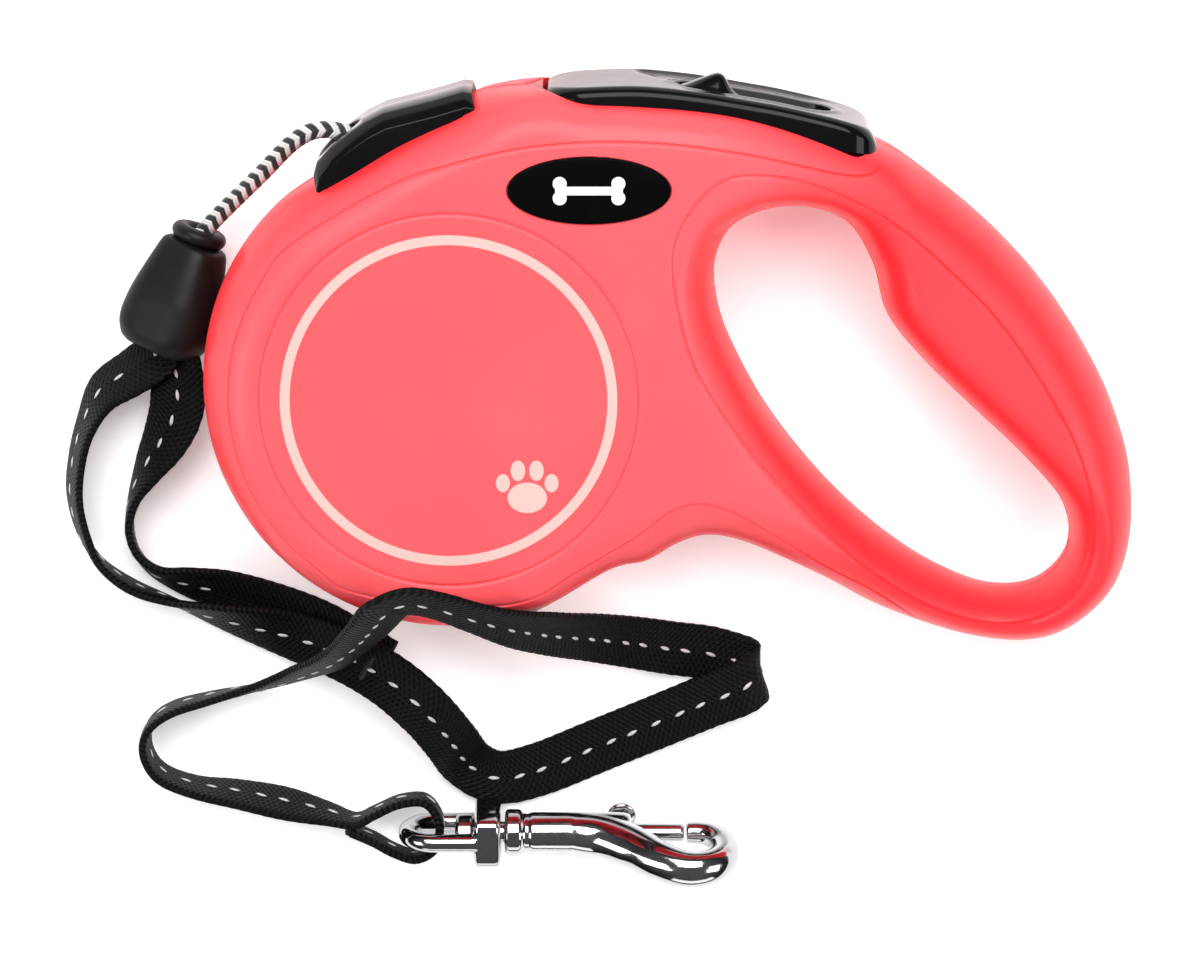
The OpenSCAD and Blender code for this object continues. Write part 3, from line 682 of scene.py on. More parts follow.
OUTLET = [(-61.4, 33.6), (-60.8, 35.8), (-58.5, 38.4), (-55.5, 40.8), (-52.5, 42.9),
          (-49.3, 44.5), (-41, 46.6), (-35.6, 48.2), (-34, 48), (-34.6, 45.2), (-37, 41.6),
          (-44, 38.6), (-52, 34), (-57.5, 29.8)]
HOLE_GROOVE = [(0.5, 18.6), (1.3, 24.8), (5.2, 31.2), (10.2, 34.7), (16.2, 35), (22.3, 34),
               (31, 30.5), (39.6, 25.5), (48.3, 17.9), (57.1, 8.8), (66, -4.2), (71.4, -14.9),
               (73.8, -24), (74, -31.7), (71.2, -39.4), (65.9, -43.9), (58, -45.4), (49.3, -43.6),
               (40.5, -39), (31.7, -32.4), (22.9, -23.3), (14.1, -13.3), (5.4, -0.2), (1.7, 10.6)]
LOW_GROOVE = [(45, -46.2), (40.5, -42.3), (35.1, -38.7), (29, -35.5), (22.9, -31.7), (14.1, -25.8),
              (10.6, -23.7), (5.4, -22.3), (0.4, -23.7), (-5, -27.8), (-15.6, -34.6), (-27.8, -40.6)]

body_pts = [tuple(AXIS + BODY_R * np.array([math.cos(a), math.sin(a)]))
            for a in np.radians(np.arange(112, 311, 22))]
outline = catmull(body_pts + LOOP, 8, True)


def ease(t):
    t = np.clip(t, 0, 1)
    return t * t * (3 - 2 * t)


def full_outline(line):
    """The shell stands a little fuller than the plain spline at three places."""
    x, y = line[:, 0], line[:, 1]
    crown = 1.3 * ease((x + 39) / 8) * ease((-12 - x) / 10) * (y > 38)
    back = 0.7 * ease((x - 30) / 10) * ease((y + 32) / 16)
    heel = 0.8 * ease((x - 26) / 12) * ease((77 - x) / 12) * ease((-36 - y) / 6)
    return line + np.stack([0.72 * back, crown + 0.69 * back - heel], 1)


outline = full_outline(outline)
hole = catmull(HOLE, 8, True)


def belt_groove():
    """The groove that follows the outline from under the handle to behind the button."""
    arc = [tuple(AXIS + GROOVE_R * np.array([math.cos(a), math.sin(a)]))
           for a in np.radians(np.arange(246, 120, -14))]
    top = [(-48, 33.2), (-38, 36.9), (-26, 39.8), (-13, 41.0), (0, 40.6), (12, 38.9), (22, 36.6),
           (29, 34.9), (33.6, 34.6), (37.0, 36.2), (38.9, 38.6)]
    return catmull(LOW_GROOVE + arc + top, 8)


def inside(poly, pts):
    """Which points lie in a closed outline, by crossings."""
    x, y = pts[:, 0][:, None], pts[:, 1][:, None]
    a, b = poly, np.roll(poly, -1, axis=0)
    cross = (a[:, 1] > y) != (b[:, 1] > y)
    with np.errstate(divide="ignore", invalid="ignore"):
        at = (b[:, 0] - a[:, 0]) * (y - a[:, 1]) / (b[:, 1] - a[:, 1]) + a[:, 0]
    return ((cross & (x < at)).sum(1) % 2).astype(bool)


def distance(line, pts, loop):
    """Distance of each point from a polyline, worked out a block of points at a time."""
    a = line if loop else line[:-1]
    b = np.roll(line, -1, axis=0) if loop else line[1:]
    best = np.full(len(pts), 1e9)
    block = 4000
    for k in range(0, len(pts), block):
        p = pts[k:k + block, None, :]
        ab = b - a
        t = np.clip(((p - a) * ab).sum(2) / (ab * ab).sum(1), 0, 1)
        best[k:k + block] = np.linalg.norm(p - (a + t[..., None] * ab), axis=2).min(1)
    return best


def offset_line(line, g, loop):
    """The line moved sideways by g."""
    if loop:
        t = np.roll(line, -1, axis=0) - np.roll(line, 1, axis=0)
    else:
        t = np.gradient(line, axis=0)
    t = unit_rows(t)
    return line + g * np.stack([t[:, 1], -t[:, 0]], 1)


def half_height(x):
    """Half the thickness: full over the spool, less at the grip."""
    return CASE_H - (CASE_H - GRIP_H) * ease((x - 2) / 38)


def shut(line):
    return np.vstack([line, line[:1]])


ring_a = np.radians(np.arange(0, 360, 1.6))
GROOVES = [resample(belt_groove(), 0.9)[0], resample(shut(catmull(HOLE_GROOVE, 8, True)), 0.9)[0],
           shut(AXIS + LABEL_R * np.stack([np.cos(ring_a), np.sin(ring_a)], 1))]
oval_a = np.radians(np.arange(0, 360, 4))


def rim_power(pts):
    """2 is a round rim; beside the button the rim is squarer and stands higher."""
    x, y = pts[:, 0], pts[:, 1]
    return 2 + 1.3 * ease((x + 34) / 11) * ease((45 - x) / 9) * ease((y - 24) / 8)


def rim_height(pts, d_out, s2):
    s1 = 1 - np.clip(d_out / RIM_W, 0, 1)
    p = rim_power(pts)
    return half_height(pts[:, 0]) * np.clip(1 - s1 ** p - s2 * s2, 0, 1) ** (1 / p)


def slot_half(x):
    """Half width of the button's slot in the rim, round at both ends."""
    left = np.clip((SLOT_X[0] + 8 - x) / 8, 0, 1)
    right = np.clip((x - SLOT_X[1] + 5) / 5, 0, 1)
    return SLOT_Z * np.sqrt(np.clip(1 - left ** 2 - right ** 2, 0, 1))


def slot_edge():
    """Where the slot's side walls come out of the rim, left to right."""
    t = unit_rows(np.roll(outline, -1, axis=0) - np.roll(outline, 1, axis=0))
    inward = np.stack([-t[:, 1], t[:, 0]], 1)
    if not inside(outline, outline[:1] + 0.5 * inward[:1])[0]:
        inward = -inward
    at = (outline[:, 0] > SLOT_X[0]) & (outline[:, 0] < SLOT_X[1]) & (outline[:, 1] > 30)
    order = np.argsort(outline[at, 0])
    fine = resample(np.hstack([outline[at][order], inward[at][order]]), 0.6)[0]
    base, n = fine[:, :2], fine[:, 2:]
    low, high = np.zeros(len(base)), np.full(len(base), RIM_W)
    for _ in range(30):
        d = (low + high) / 2
        p = base + n * d[:, None]
        under_wall = rim_height(p, d, 0) < slot_half(p[:, 0])
        low, high = np.where(under_wall, d, low), np.where(under_wall, high, d)
    deep = high > 0.04
    line = (base + n * high[:, None])[deep]
    return np.vstack([base[deep][:1], line, base[deep][-1:]])


def top_height(pts, d_out, d_hole):
    """Outer skin over the middle plane, with its grooves and the badge's recess."""
    z = rim_height(pts, d_out, 1 - np.clip(d_hole / HOLE_W, 0, 1))
    for line in GROOVES:
        d = distance(line, pts, False)
        z = z - GROOVE_DEEP * np.clip(1 - d / GROOVE_W, 0, 1) * np.clip(z / 6, 0, 1)
    e = np.linalg.norm((pts - BADGE) / np.array([BADGE_A + 0.18, BADGE_B + 0.18]), axis=1)
    return np.where(e < 0.9995, z - BADGE_DEEP, z)


def under_height(pts, d_out, d_hole):
    """Inner skin, a wall's thickness inside the outer one."""
    s1 = 1 - np.clip((d_out - WALL) / (RIM_W - 2), 0, 1)
    s2 = 1 - np.clip((d_hole - WALL) / (HOLE_W - 1), 0, 1)
    return (half_height(pts[:, 0]) - WALL) * np.sqrt(np.clip(1 - s1 * s1 - s2 * s2, 0, 1))


def rim_inset(z):
    """How far inside the outline a round rim has risen to z."""
    return RIM_W * (1 - math.sqrt(1 - (z / CASE_H) ** 2))


def stepped(line, step, loop):
    """A polyline with points every step along each of its sides, corners kept."""
    line = np.asarray(line, float)
    out = []
    for i in range(len(line) if loop else len(line) - 1):
        p, q = line[i], line[(i + 1) % len(line)]
        n = max(1, int(round(np.linalg.norm(q - p) / step)))
        out += [p + (q - p) * k / n for k in range(n)]
    if not loop:
        out.append(line[-1])
    return np.array(out)


def triangulate(chains, groups, keep):
    """Triangles through fixed chains (line, loop) and loose groups (points, least gap)."""
    verts, edges, taken = [], [], {}
    cell = 1.0

    def near(p, gap):
        i, j = int(p[0] // cell), int(p[1] // cell)
        return any((q[0] - p[0]) ** 2 + (q[1] - p[1]) ** 2 < gap * gap
                   for di in (-1, 0, 1) for dj in (-1, 0, 1) for q in taken.get((i + di, j + dj), ()))

    def place(p):
        taken.setdefault((int(p[0] // cell), int(p[1] // cell)), []).append(p)
        verts.append(tuple(p))

    for line, loop in chains:
        base = len(verts)
        for p in line:
            place(p)
        edges += [(base + i, base + i + 1) for i in range(len(line) - 1)]
        if loop:
            edges.append((base + len(line) - 1, base))
    for points, gap in groups:
        for p in points:
            if not near(p, gap):
                place(p)
    out = delaunay_2d_cdt([Vector(v) for v in verts], edges, [], 0, 1e-5)
    pts = np.array([(v.x, v.y) for v in out[0]])
    tris = np.array([f[:] for f in out[2]])
    tris = tris[keep(pts[tris].mean(1))]
    used, tris = np.unique(tris, return_inverse=True)
    return pts[used], tris.reshape(-1, 3)


def closed_relief(pts, tris, top, low, place):
    """A closed solid between two heights over one plan."""
    n = len(pts)
    verts = [place(p[0], p[1], h) for level in (top, low) for p, h in zip(pts, level)]
    faces = [tuple(f) for f in tris] + [(r + n, q + n, p + n) for p, q, r in tris]
    sides = {(int(i), int(j)) for i, j in np.vstack([tris[:, [0, 1]], tris[:, [1, 2]], tris[:, [2, 0]]])}
    for i, j in sorted(sides):
        if (j, i) not in sides:
            faces += [(j, i, i + n), (j, i + n, j + n)]
    return verts, faces


def rim_lines(slopes):
    """Lines inside both edges of the plan, where a round rim has turned by each slope in degrees."""
    lines = []
    for a in np.radians(slopes):
        lines.append(offset_line(outline, -RIM_W * (1 - math.cos(a)), True))
        lines.append(offset_line(hole, HOLE_W * (1 - math.cos(a)), True))
    return lines


def plan_triangles():
    """The plan of one half, cut out for the button and the cord outlet."""
    outlet_in = stepped(offset_line(np.array(OUTLET), 0.2, True), 0.8, True)
    chains = [(outline, True), (hole, True),
              (offset_line(outline, -rim_inset(OUTLET_Z), True), True),
              (slot_line, False), (outlet_in, True)]
    groups, lines = [], []
    for line in GROOVES:
        for g in (0, -GROOVE_W, GROOVE_W):
            part = offset_line(line, g, False)
            clear = (distance(outline, part, True) > 1.0) & (distance(hole, part, True) > 1.0)
            for run in np.split(np.arange(len(part)), np.flatnonzero(~clear)):
                run = run[clear[run]]
                if len(run) > 3:
                    chains.append((part[run], False))
        for g in (-0.7, 0.7):
            lines.append(offset_line(line, g, False))
    for g in (-0.55, 0.0, 0.22, 0.7):
        lines.append(BADGE + np.stack([(BADGE_A + g) * np.cos(oval_a), (BADGE_B + g) * np.sin(oval_a)], 1))
    rims = np.vstack(rim_lines((7.5, 15, 22.5)))
    groups.append((rims[(distance(outline, rims, True) < 0.8) | (distance(hole, rims, True) < 0.8)], 0.03))
    for points in lines:
        clear = (distance(outline, points, True) > 0.78) & (distance(hole, points, True) > 0.78)
        groups.append((points[clear], 0.2))
    grid = grid_points(np.arange(-82, 83, 2.0), np.arange(-50, 51, 2.0), (0.13, 0.07))
    for points in rim_lines(np.arange(30, 91, 6)) + [grid]:
        clear = (distance(outline, points, True) > 1.0) & (distance(hole, points, True) > 0.9)
        groups.append((points[clear], 0.42))

    def keep(mid):
        d = distance(outline, mid, True)
        good = inside(outline, mid) & ~inside(hole, mid)
        good &= ~inside(np.vstack([slot_line, [(slot_line[-1, 0], 60), (slot_line[0, 0], 60)]]), mid)
        return good & ~(inside(outlet_in, mid) & (d < rim_inset(OUTLET_Z)))

    pts, tris = triangulate(chains, groups, keep)
    return pts, tris, outlet_in


slot_line = slot_edge()
plan, plan_tris, outlet_in = plan_triangles()
d_out = distance(outline, plan, True)
d_hole = distance(hole, plan, True)
d_out[d_out < 1e-4] = 0
d_hole[d_hole < 1e-4] = 0
height = top_height(plan, d_out, d_hole)
under = under_height(plan, d_out, d_hole)
in_slot = (plan[:, 0] > SLOT_X[0] - 1e-6) & (plan[:, 0] < SLOT_X[1] + 1e-6) & (plan[:, 1] > 33)
wall = slot_half(plan[:, 0])
under = np.where(in_slot & (height > wall - 0.1), np.maximum(under, wall), under)
in_outlet = inside(outlet_in, plan) | (distance(outlet_in, plan, True) < 1e-4)
under = np.where(in_outlet & (height > OUTLET_Z - 0.1), np.maximum(under, OUTLET_Z), under)
under = np.minimum(under, height)


def casing_half(name, node, up):
    """One shell: up is 1 for the front half and -1 for the back half."""
    verts, faces = closed_relief(plan, plan_tris, height, under,
                                 lambda x, y, h: (x, y, CASE_H + up * h))
    half = make_object(name, verts, faces, red)
    sharpen(half, 50)
    dress(half, "casing", node)
    return half


def cylinder_between(name, p, q, r0, r1, around=48):
    p, q = np.array(p, float), np.array(q, float)
    t = (q - p) / np.linalg.norm(q - p)
    u = np.cross(t, (1, 0, 0.2))
    u /= np.linalg.norm(u)
    v = np.cross(t, u)
    rings = [[c + r * (math.cos(a) * u + math.sin(a) * v) for a in full_turn(around)]
             for c, r in ((p, r0), (q, r1))]
    return make_object(name, *skin(rings), gloss)


def cut(obj, tool):
    modify(obj, "BOOLEAN", operation="DIFFERENCE", object=tool, solver="EXACT")
    bpy.data.objects.remove(tool, do_unlink=True)


def screw_bosses():
    """Sleeves that carry the screw recesses from the back wall to the screw heads.

    The last screw has none, because it would come through the rounded end of the grip."""
    parts = []
    out, seat, bore = SCREW_R + 0.8, SCREW_DEEP + 2, 1.3
    for x, y in SCREWS[:-1]:
        start = 1.2 if x < 30 else 6.5  # the grip's wall starts higher than the spool end's
        profile = ((out, seat), (out, start), (SCREW_R, start), (SCREW_R, SCREW_DEEP), (bore, SCREW_DEEP),
                   (bore, seat))
        rings = [[(x + r * math.cos(a), y + r * math.sin(a), z) for a in np.radians(np.arange(0, 360, 10))]
                 for r, z in profile]
        parts.append(skin(rings, "joined"))
    bosses = make_object("casing_screw_sleeves", *joined(parts), red)
    sharpen(bosses, 40)
    dress(bosses, "casing", None)


def parting_line():
    """The fine shadow line where the two halves meet, left out at the slot and the cord outlet."""
    parts, r = [], 0.12
    for line, inward in ((outline, -0.04), (hole, 0.04)):
        fine = offset_line(resample(shut(line), 0.8)[0], inward, True)
        seen = np.full(len(fine), True)
        if line is outline:
            in_slot = (fine[:, 0] > SLOT_X[0] - 1) & (fine[:, 0] < SLOT_X[1] + 1) & (fine[:, 1] > 30)
            seen = ~(in_slot | inside(outlet_in, fine))
        for run in np.split(np.arange(len(fine)), np.flatnonzero(~seen)):
            run = run[seen[run]]
            if len(run) < 4:
                continue
            rings = []
            for x, y in fine[run]:
                out = ((x, y) - AXIS) / np.linalg.norm((x, y) - AXIS)
                rings.append([(x + r * math.cos(a) * out[0], y + r * math.cos(a) * out[1],
                               CASE_H + r * math.sin(a)) for a in np.radians(np.arange(0, 360, 60))])
            parts.append(skin(rings))
    seam = make_object("casing_parting_line", *joined(parts), seam_red)
    dress(seam, "casing", None)


casing_half("casing_front_shell", "housing_front", 1)
back_shell = casing_half("casing_back_shell", "housing_back", -1)
for x, y in SCREWS:
    cut(back_shell, cylinder_between("recess", (x, y, -1), (x, y, SCREW_DEEP), SCREW_R, SCREW_R, 36))
sharpen(back_shell, 50)
screw_bosses()
parting_line()


# ------------------------------------------------------------------ badges
def bone(a, b, r):
    """Outline of a plain bone mark: four knobs of radius r at (+-a, +-b)."""
    pts = []
    for cx, cy, a0, a1 in ((a, b, -50, 205), (-a, b, -25, 230), (-a, -b, 130, 385), (a, -b, 155, 410)):
        for t in np.radians(np.linspace(a0, a1, 18)):
            pts.append((cx + r * math.cos(t), cy + r * math.sin(t)))
    return np.array(pts)


def badge(name, node, up):
    """Oval plate with a rounded edge, let into the face, and its printed bone."""
    e = np.radians(np.arange(0, 360, 4))
    rings = []
    for h, g in ((-0.74, 0), (-0.2, 0), (-0.11, 0.05), (-0.07, 0.16), (-0.05, 0.35), (-0.04, 3.0)):
        z = CASE_H + up * (CASE_H + h)
        rings.append([(BADGE[0] + (BADGE_A - 0.05 - g) * math.cos(t),
                       BADGE[1] + (BADGE_B - 0.05 - g) * math.sin(t), z) for t in e])
    plate = make_object(name, *skin(rings), label_black)
    sharpen(plate, 40)
    mark = []
    for h in (-0.07, 0.0):
        z = CASE_H + up * (CASE_H + h)
        mark.append([(BADGE[0] + x, BADGE[1] + y, z) for x, y in bone(5.0, 1.25, 1.2)])
    picture = make_object(name + "_bone_mark", *skin(mark), label_white, smooth=False)
    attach(picture, "casing")
    dress(plate, "casing", node)


badge("badge_front_plate", "badge_front", 1)
badge("badge_back_plate", "badge_back", -1)


# ------------------------------------------------------------------ brake button
BUTTON_TOP = catmull([(-22.3, 45.6), (-21.4, 48.0), (-19.4, 49.0), (-12, 49.5), (-5.5, 49.6),
                      (0, 49.2), (6.5, 48.4), (13.5, 47.2), (20, 46), (29.5, 43.7), (34, 42),
                      (35.8, 40.2)], 8)
BUTTON_X = (-22.3, 35.8)
BUTTON_HALF = 12
BUTTON_SLOT = (3.6, 0.9, 28.1)      # half width and ends
SLOT_ANGLE = math.radians(-10.4)
SLOT_START = np.array([0.8, 48.5])


def rounded_plan(x0, x1, half, r0, r1, n=10):
    pts = []
    for cx, cz, r, a0 in ((x1 - r1, half - r1, r1, 0), (x0 + r0, half - r0, r0, 90),
                          (x0 + r0, -half + r0, r0, 180), (x1 - r1, -half + r1, r1, 270)):
        for t in np.radians(a0 + np.linspace(0, 90, n)):
            pts.append((cx + r * math.cos(t), cz + r * math.sin(t)))
    return stepped(pts, 0.8, True)


def racetrack(pts, x0, x1, half):
    """Distance inside (positive) a slot with round ends, in plan."""
    x = np.clip(pts[:, 0], x0 + half, x1 - half)
    return half - np.hypot(pts[:, 0] - x, pts[:, 1])


def brake_button():
    """The thumb button: rounded edge, shallow finger dish, slot with a raised lip, skirt below."""
    edge = rounded_plan(*BUTTON_X, BUTTON_HALF, 8.6, 5.0)
    radius = 1.9
    groups = []
    for a in np.radians(np.arange(10, 91, 10)):
        groups.append((offset_line(edge, -radius * (1 - math.cos(a)), True), 0.015 if a < 0.6 else 0.1))
    groups.append((offset_line(edge, -(radius + 0.05), True), 0.02))
    for half, x0, x1 in (BUTTON_SLOT, (3.3, 1.2, 27.8), (4.1, 0.4, 28.6), (2.6, 1.9, 27.1)):
        groups.append((rounded_plan(x0, x1, half, half - 0.01, half - 0.01), 0.15))
    grid = grid_points(np.arange(-22, 36, 0.8), np.arange(-12, 12.1, 0.8), (0.03, 0.02))
    grid = grid[inside(edge, grid) & (distance(edge, grid, True) > 0.7)]
    groups.append((grid, 0.35))
    pts, tris = triangulate([(edge, True)], groups, lambda mid: inside(edge, mid))
    d = distance(edge, pts, True)
    d[d < 1e-4] = 0
    top = np.interp(pts[:, 0], BUTTON_TOP[:, 0], BUTTON_TOP[:, 1])
    across = pts[:, 1]
    crease = -6.5 + 7.5 * ease((across + 10) / 16)
    dish = ease((pts[:, 0] - crease) / 2.2) * ease((31 - pts[:, 0]) / 8) * ease((10.4 - np.abs(across)) / 2)
    top = top - 0.55 * dish
    half, x0, x1 = BUTTON_SLOT
    slot = racetrack(pts, x0, x1, half)
    rim = 0.25 * np.exp(-((slot + 0.9) / 0.7) ** 2)
    top = top + rim - 1.5 * ease(slot / 0.35)
    s = 1 - np.clip(d / radius, 0, 1)
    top = top - radius * (1 - np.sqrt(np.clip(1 - s * s, 0, 1)))
    skirt = np.interp(pts[:, 0], (-22.3, -14, -6, 4, 20, 35.8), (40.8, 40.6, 43, 42.2, 40.2, 37.6))
    low = np.where(d < radius + 0.02, skirt, top - 1.6)
    low = np.minimum(low, top - 0.2)
    verts, faces = closed_relief(pts, tris, top, low, lambda x, z, h: (x, h, CASE_H + z))
    obj = make_object("brake_button_cap", verts, faces, gloss)
    sharpen(obj, 42)
    dress(obj, "brake", "brake_button")


def lock_slider():
    """The thumb slider in the button's slot, with its fin."""
    edge = rounded_plan(0.3, 22.9, 3.1, 3.0, 3.0, 8)
    fin = catmull([(0, -0.3), (1.5, 0.1), (3, 0.9), (5, 2.1), (6.8, 3.1), (7.8, 3.2), (8.6, 2.7),
                   (9.8, 1.2), (11, 0.3), (13, -0.2), (18, -0.4), (23.2, -0.5)], 6)
    groups = [(offset_line(edge, -g, True), 0.05) for g in (0.06, 0.2, 0.45, 0.8)]
    grid = grid_points(np.arange(0, 23.2, 0.4), np.arange(-3, 3.1, 0.4), (0, 0))
    grid = grid[inside(edge, grid) & (distance(edge, grid, True) > 0.6)]
    groups.append((grid, 0.2))
    pts, tris = triangulate([(edge, True)], groups, lambda mid: inside(edge, mid))
    d = distance(edge, pts, True)
    d[d < 1e-4] = 0
    swell = np.interp(pts[:, 0], fin[:, 0], fin[:, 1])
    narrow = 0.35 + 0.65 * ease((3.3 - np.abs(pts[:, 1])) / 2.4)
    top = np.minimum(swell, -0.3) + np.where(swell > -0.3, swell + 0.3, 0) * narrow
    top = top - 0.5 * (1 - ease(d / 0.8))
    low = np.full(len(pts), -2.6)
    ca, sa = math.cos(SLOT_ANGLE), math.sin(SLOT_ANGLE)

    def place(x, z, h):
        return (SLOT_START[0] + x * ca - h * sa, SLOT_START[1] + x * sa + h * ca, CASE_H + z)

    verts, faces = closed_relief(pts, tris, top, low, place)
    obj = make_object("brake_lock_thumb_slider", verts, faces, gloss)
    sharpen(obj, 42)
    dress(obj, "lock", "brake_lock_slider")


brake_button()
lock_slider()


# ------------------------------------------------------------------ pivot pin
def pivot_pin():
    """Steel pin of the button, cut to stay inside the squarer rim."""
    x, y = -18.5, 43.2
    around = np.radians(np.arange(0, 360, 10))
    rings = [[(x + r * math.cos(a), y + r * math.sin(a), CASE_H + z) for a in around]
             for z, r in ((-12.9, 1.2), (-12.6, 1.5), (12.6, 1.5), (12.9, 1.2))]
    pin = make_object("brake_pivot_steel_pin", *skin(rings), plain_steel)
    sharpen(pin, 40)
    dress(pin, "casing", "brake_pivot_pin")


pivot_pin()


# ------------------------------------------------------------------ cord outlet
def cord_outlet():
    """Gloss nose piece, bored along the cord with a funnel at its mouth."""
    edge = np.array(OUTLET)
    deep = inside(outline, edge) & (distance(outline, edge, True) > 2.5)
    rings = []
    for z, g in ((-10, 2.5), (-9.7, 2.1), (-7.7, 0.25), (-7.2, 0),
                 (7.2, 0), (7.7, 0.25), (9.7, 2.1), (10, 2.5)):
        drop = edge - g * np.array([-0.25, 0.97]) * (~deep)[:, None]
        rings.append([(x, y, CASE_H + z) for x, y in drop])
    obj = make_object("cord_outlet_guide", *skin(rings), gloss)
    run = np.array(INNER_RUN[-1], float) - np.array(INNER_RUN[0], float)
    run /= np.linalg.norm(run)
    mouth = np.array([-56.6, 40.0, 18.0])
    cut(obj, cylinder_between("bore", mouth - 30 * run, mouth + 8 * run, 1.95, 1.95))
    cut(obj, cylinder_between("funnel", mouth - 4.5 * run, mouth + 4 * run, 1.6, 7.0))
    modify(obj, "BEVEL", width=0.22 * MM, segments=2, limit_method="ANGLE", angle_limit=math.radians(34))
    sharpen(obj, 40)
    dress(obj, "casing", "cord_outlet")


cord_outlet()


# ------------------------------------------------------------------ stopper on the cord
def on_axis_frame(p, q):
    """Matrix with +Z from p to q, in millimetres."""
    d = Vector(q) - Vector(p)
    return Matrix.Translation(Vector(p)) @ d.to_track_quat("Z", "Y").to_matrix().to_4x4()


STOPPER = on_axis_frame(STOP_TOP, STOP_END)


def sewn_patch(name, node, m, half):
    """Close zigzag stitches through two layers of strap."""
    hx, hy, hz = half
    rings = []
    for k in range(61):
        t = -1 + k / 30
        fat = (1 - abs(t) ** 8) ** 0.5 if abs(t) < 1 else 0.15
        wave = 0.92 + 0.08 * math.cos(k * math.pi / 2.5)
        rings.append([m @ Vector((x * fat * wave, hy * t, z * max(fat, 0.5) * wave))
                      for x, z in superellipse(hx, hz, 4, 24)])
    patch = make_object(name, *skin(rings), tack)
    return dress(patch, "casing", node)


def superellipse(a, b, power, n=72):
    out = []
    for t in full_turn(n):
        c, s = math.cos(t), math.sin(t)
        out.append((a * math.copysign(abs(c) ** (2 / power), c),
                    b * math.copysign(abs(s) ** (2 / power), s)))
    return out


def stopper():
    """The moulded stopper, hollow at its lower end, and the ring above it."""
    stations = catmull([(1.3, 3.4), (1.5, 4.6), (2.3, 5.4), (5, 6.1), (8.4, 6.85), (12, 7.55), (15.4, 8.0),
                        (17.6, 7.95), (19.4, 7.4), (20.9, 6.6), (21.6, 5.7)], 5)
    turn = math.radians(28)
    rings = []
    for z, r in stations:
        ring = []
        for x, y in superellipse(r, min(r, 7.6) * 0.9, 3.3):
            ring.append(STOPPER @ Vector((x * math.cos(turn) - y * math.sin(turn),
                                          x * math.sin(turn) + y * math.cos(turn), z)))
        rings.append(ring)
    body = make_object("stopper_shell", *skin(rings), satin)
    cut(body, cylinder_between("well", STOPPER @ Vector((0, 0, 11)), STOPPER @ Vector((0, 0, 23)), 5.5, 5.5))
    cut(body, cylinder_between("eye", STOPPER @ Vector((0, 0, 0)), STOPPER @ Vector((0, 0, 12)), 1.65, 1.65))
    sharpen(body, 45)
    ring = []
    for t in full_turn(64):
        loop = []
        for a in full_turn(24):
            r = 3.45 + 1.5 * math.cos(a)
            z = -0.1 + 1.45 * math.sin(a)
            loop.append(STOPPER @ Vector((r * math.cos(t), r * math.sin(t), z)))
        ring.append(loop)
    bead = make_object("stopper_bead_ring", *skin(ring, "joined"), satin)
    dress(body, "casing", "stopper_body")
    dress(bead, "casing", "stopper_bead")
    return body, bead


stopper_shell, stopper_ring = stopper()
joint_patch = sewn_patch("strap_joint_stitching", "strap_joint_tack",
                         Matrix.Translation((-53.4, -58, 10.6)) @ Matrix.Rotation(math.radians(-32), 4, "Z")
                         @ Matrix.Rotation(math.radians(24), 4, "Y"), (1.1, 3.0, 1.5))
hook_patch = sewn_patch("strap_hook_stitching", "strap_hook_tack",
                        Matrix.Translation((-57, -89.1, 6.3)) @ Matrix.Rotation(math.radians(-14), 4, "Z"),
                        (1.0, 1.75, 2.4))


def end_loop():
    """The cord's sewn end, a small loop that holds the strap in the stopper."""
    turn = Matrix.Rotation(math.radians(70), 4, "Z")
    route = []
    for a in np.radians(np.arange(-80, 261, 20)):
        route.append(tuple(STOPPER @ Matrix.Translation((0, -2.4, 0)) @ turn
                           @ Vector((2.2 * math.cos(a), 0, 20.4 - 3.6 * math.sin(a)))))
    obj, _ = braid_tube("cord_end_loop_braid", route, 32, 0.25)
    return dress(obj, "casing", "cord_end_loop")


cord_loop = end_loop()


# ------------------------------------------------------------------ snap hook
HOOK_AT = Vector((0, -90.2, 7))
BARREL_R = 3.8
BOLT_R = 1.7


def hook_frame(lean):
    """Frame with X along the hook and Y across its plane, which leans up from the floor."""
    return Matrix.Translation(HOOK_AT) @ Matrix.Rotation(math.radians(180 - lean), 4, "X")


HOOK = hook_frame(69)
EYE = hook_frame(84)


def revolve(profile, m, around=48):
    """A turned shape: a profile of (x, radius) about the X axis of the frame m."""
    return skin([[m @ Vector((x, r * math.cos(a), r * math.sin(a)))
                  for a in full_turn(around)] for x, r in profile])


def sweep(rows, m, around=40):
    """Rows (x, y, half size in the plane, half size across it) in the frame m."""
    fine = catmull(rows, 8)
    t = tangents(fine[:, :2])
    rings = []
    for (x, y, a, b), (tx, ty) in zip(fine, t):
        rings.append([m @ Vector((x + ty * a * math.cos(w), y - tx * a * math.cos(w), b * math.sin(w)))
                      for w in full_turn(around)])
    return skin(rings)


def fused(name, parts, voxel, rounds):
    """One closed skin over overlapping parts, as a casting has."""
    obj = make_object(name, *joined(parts), chrome)
    modify(obj, "REMESH", mode="VOXEL", voxel_size=voxel * MM, adaptivity=0.0)
    modify(obj, "SMOOTH", factor=0.5, iterations=rounds)
    obj.data.shade_smooth()
    return obj


def box(m, x, y, z):
    """A plain box as a cutter or a blank, in the frame m."""
    verts = [m @ Vector((a, b, c)) for a in x for b in y for c in z]
    faces = [(0, 1, 3, 2), (4, 6, 7, 5), (0, 4, 5, 1), (2, 3, 7, 6), (0, 2, 6, 4), (1, 5, 7, 3)]
    return verts, faces


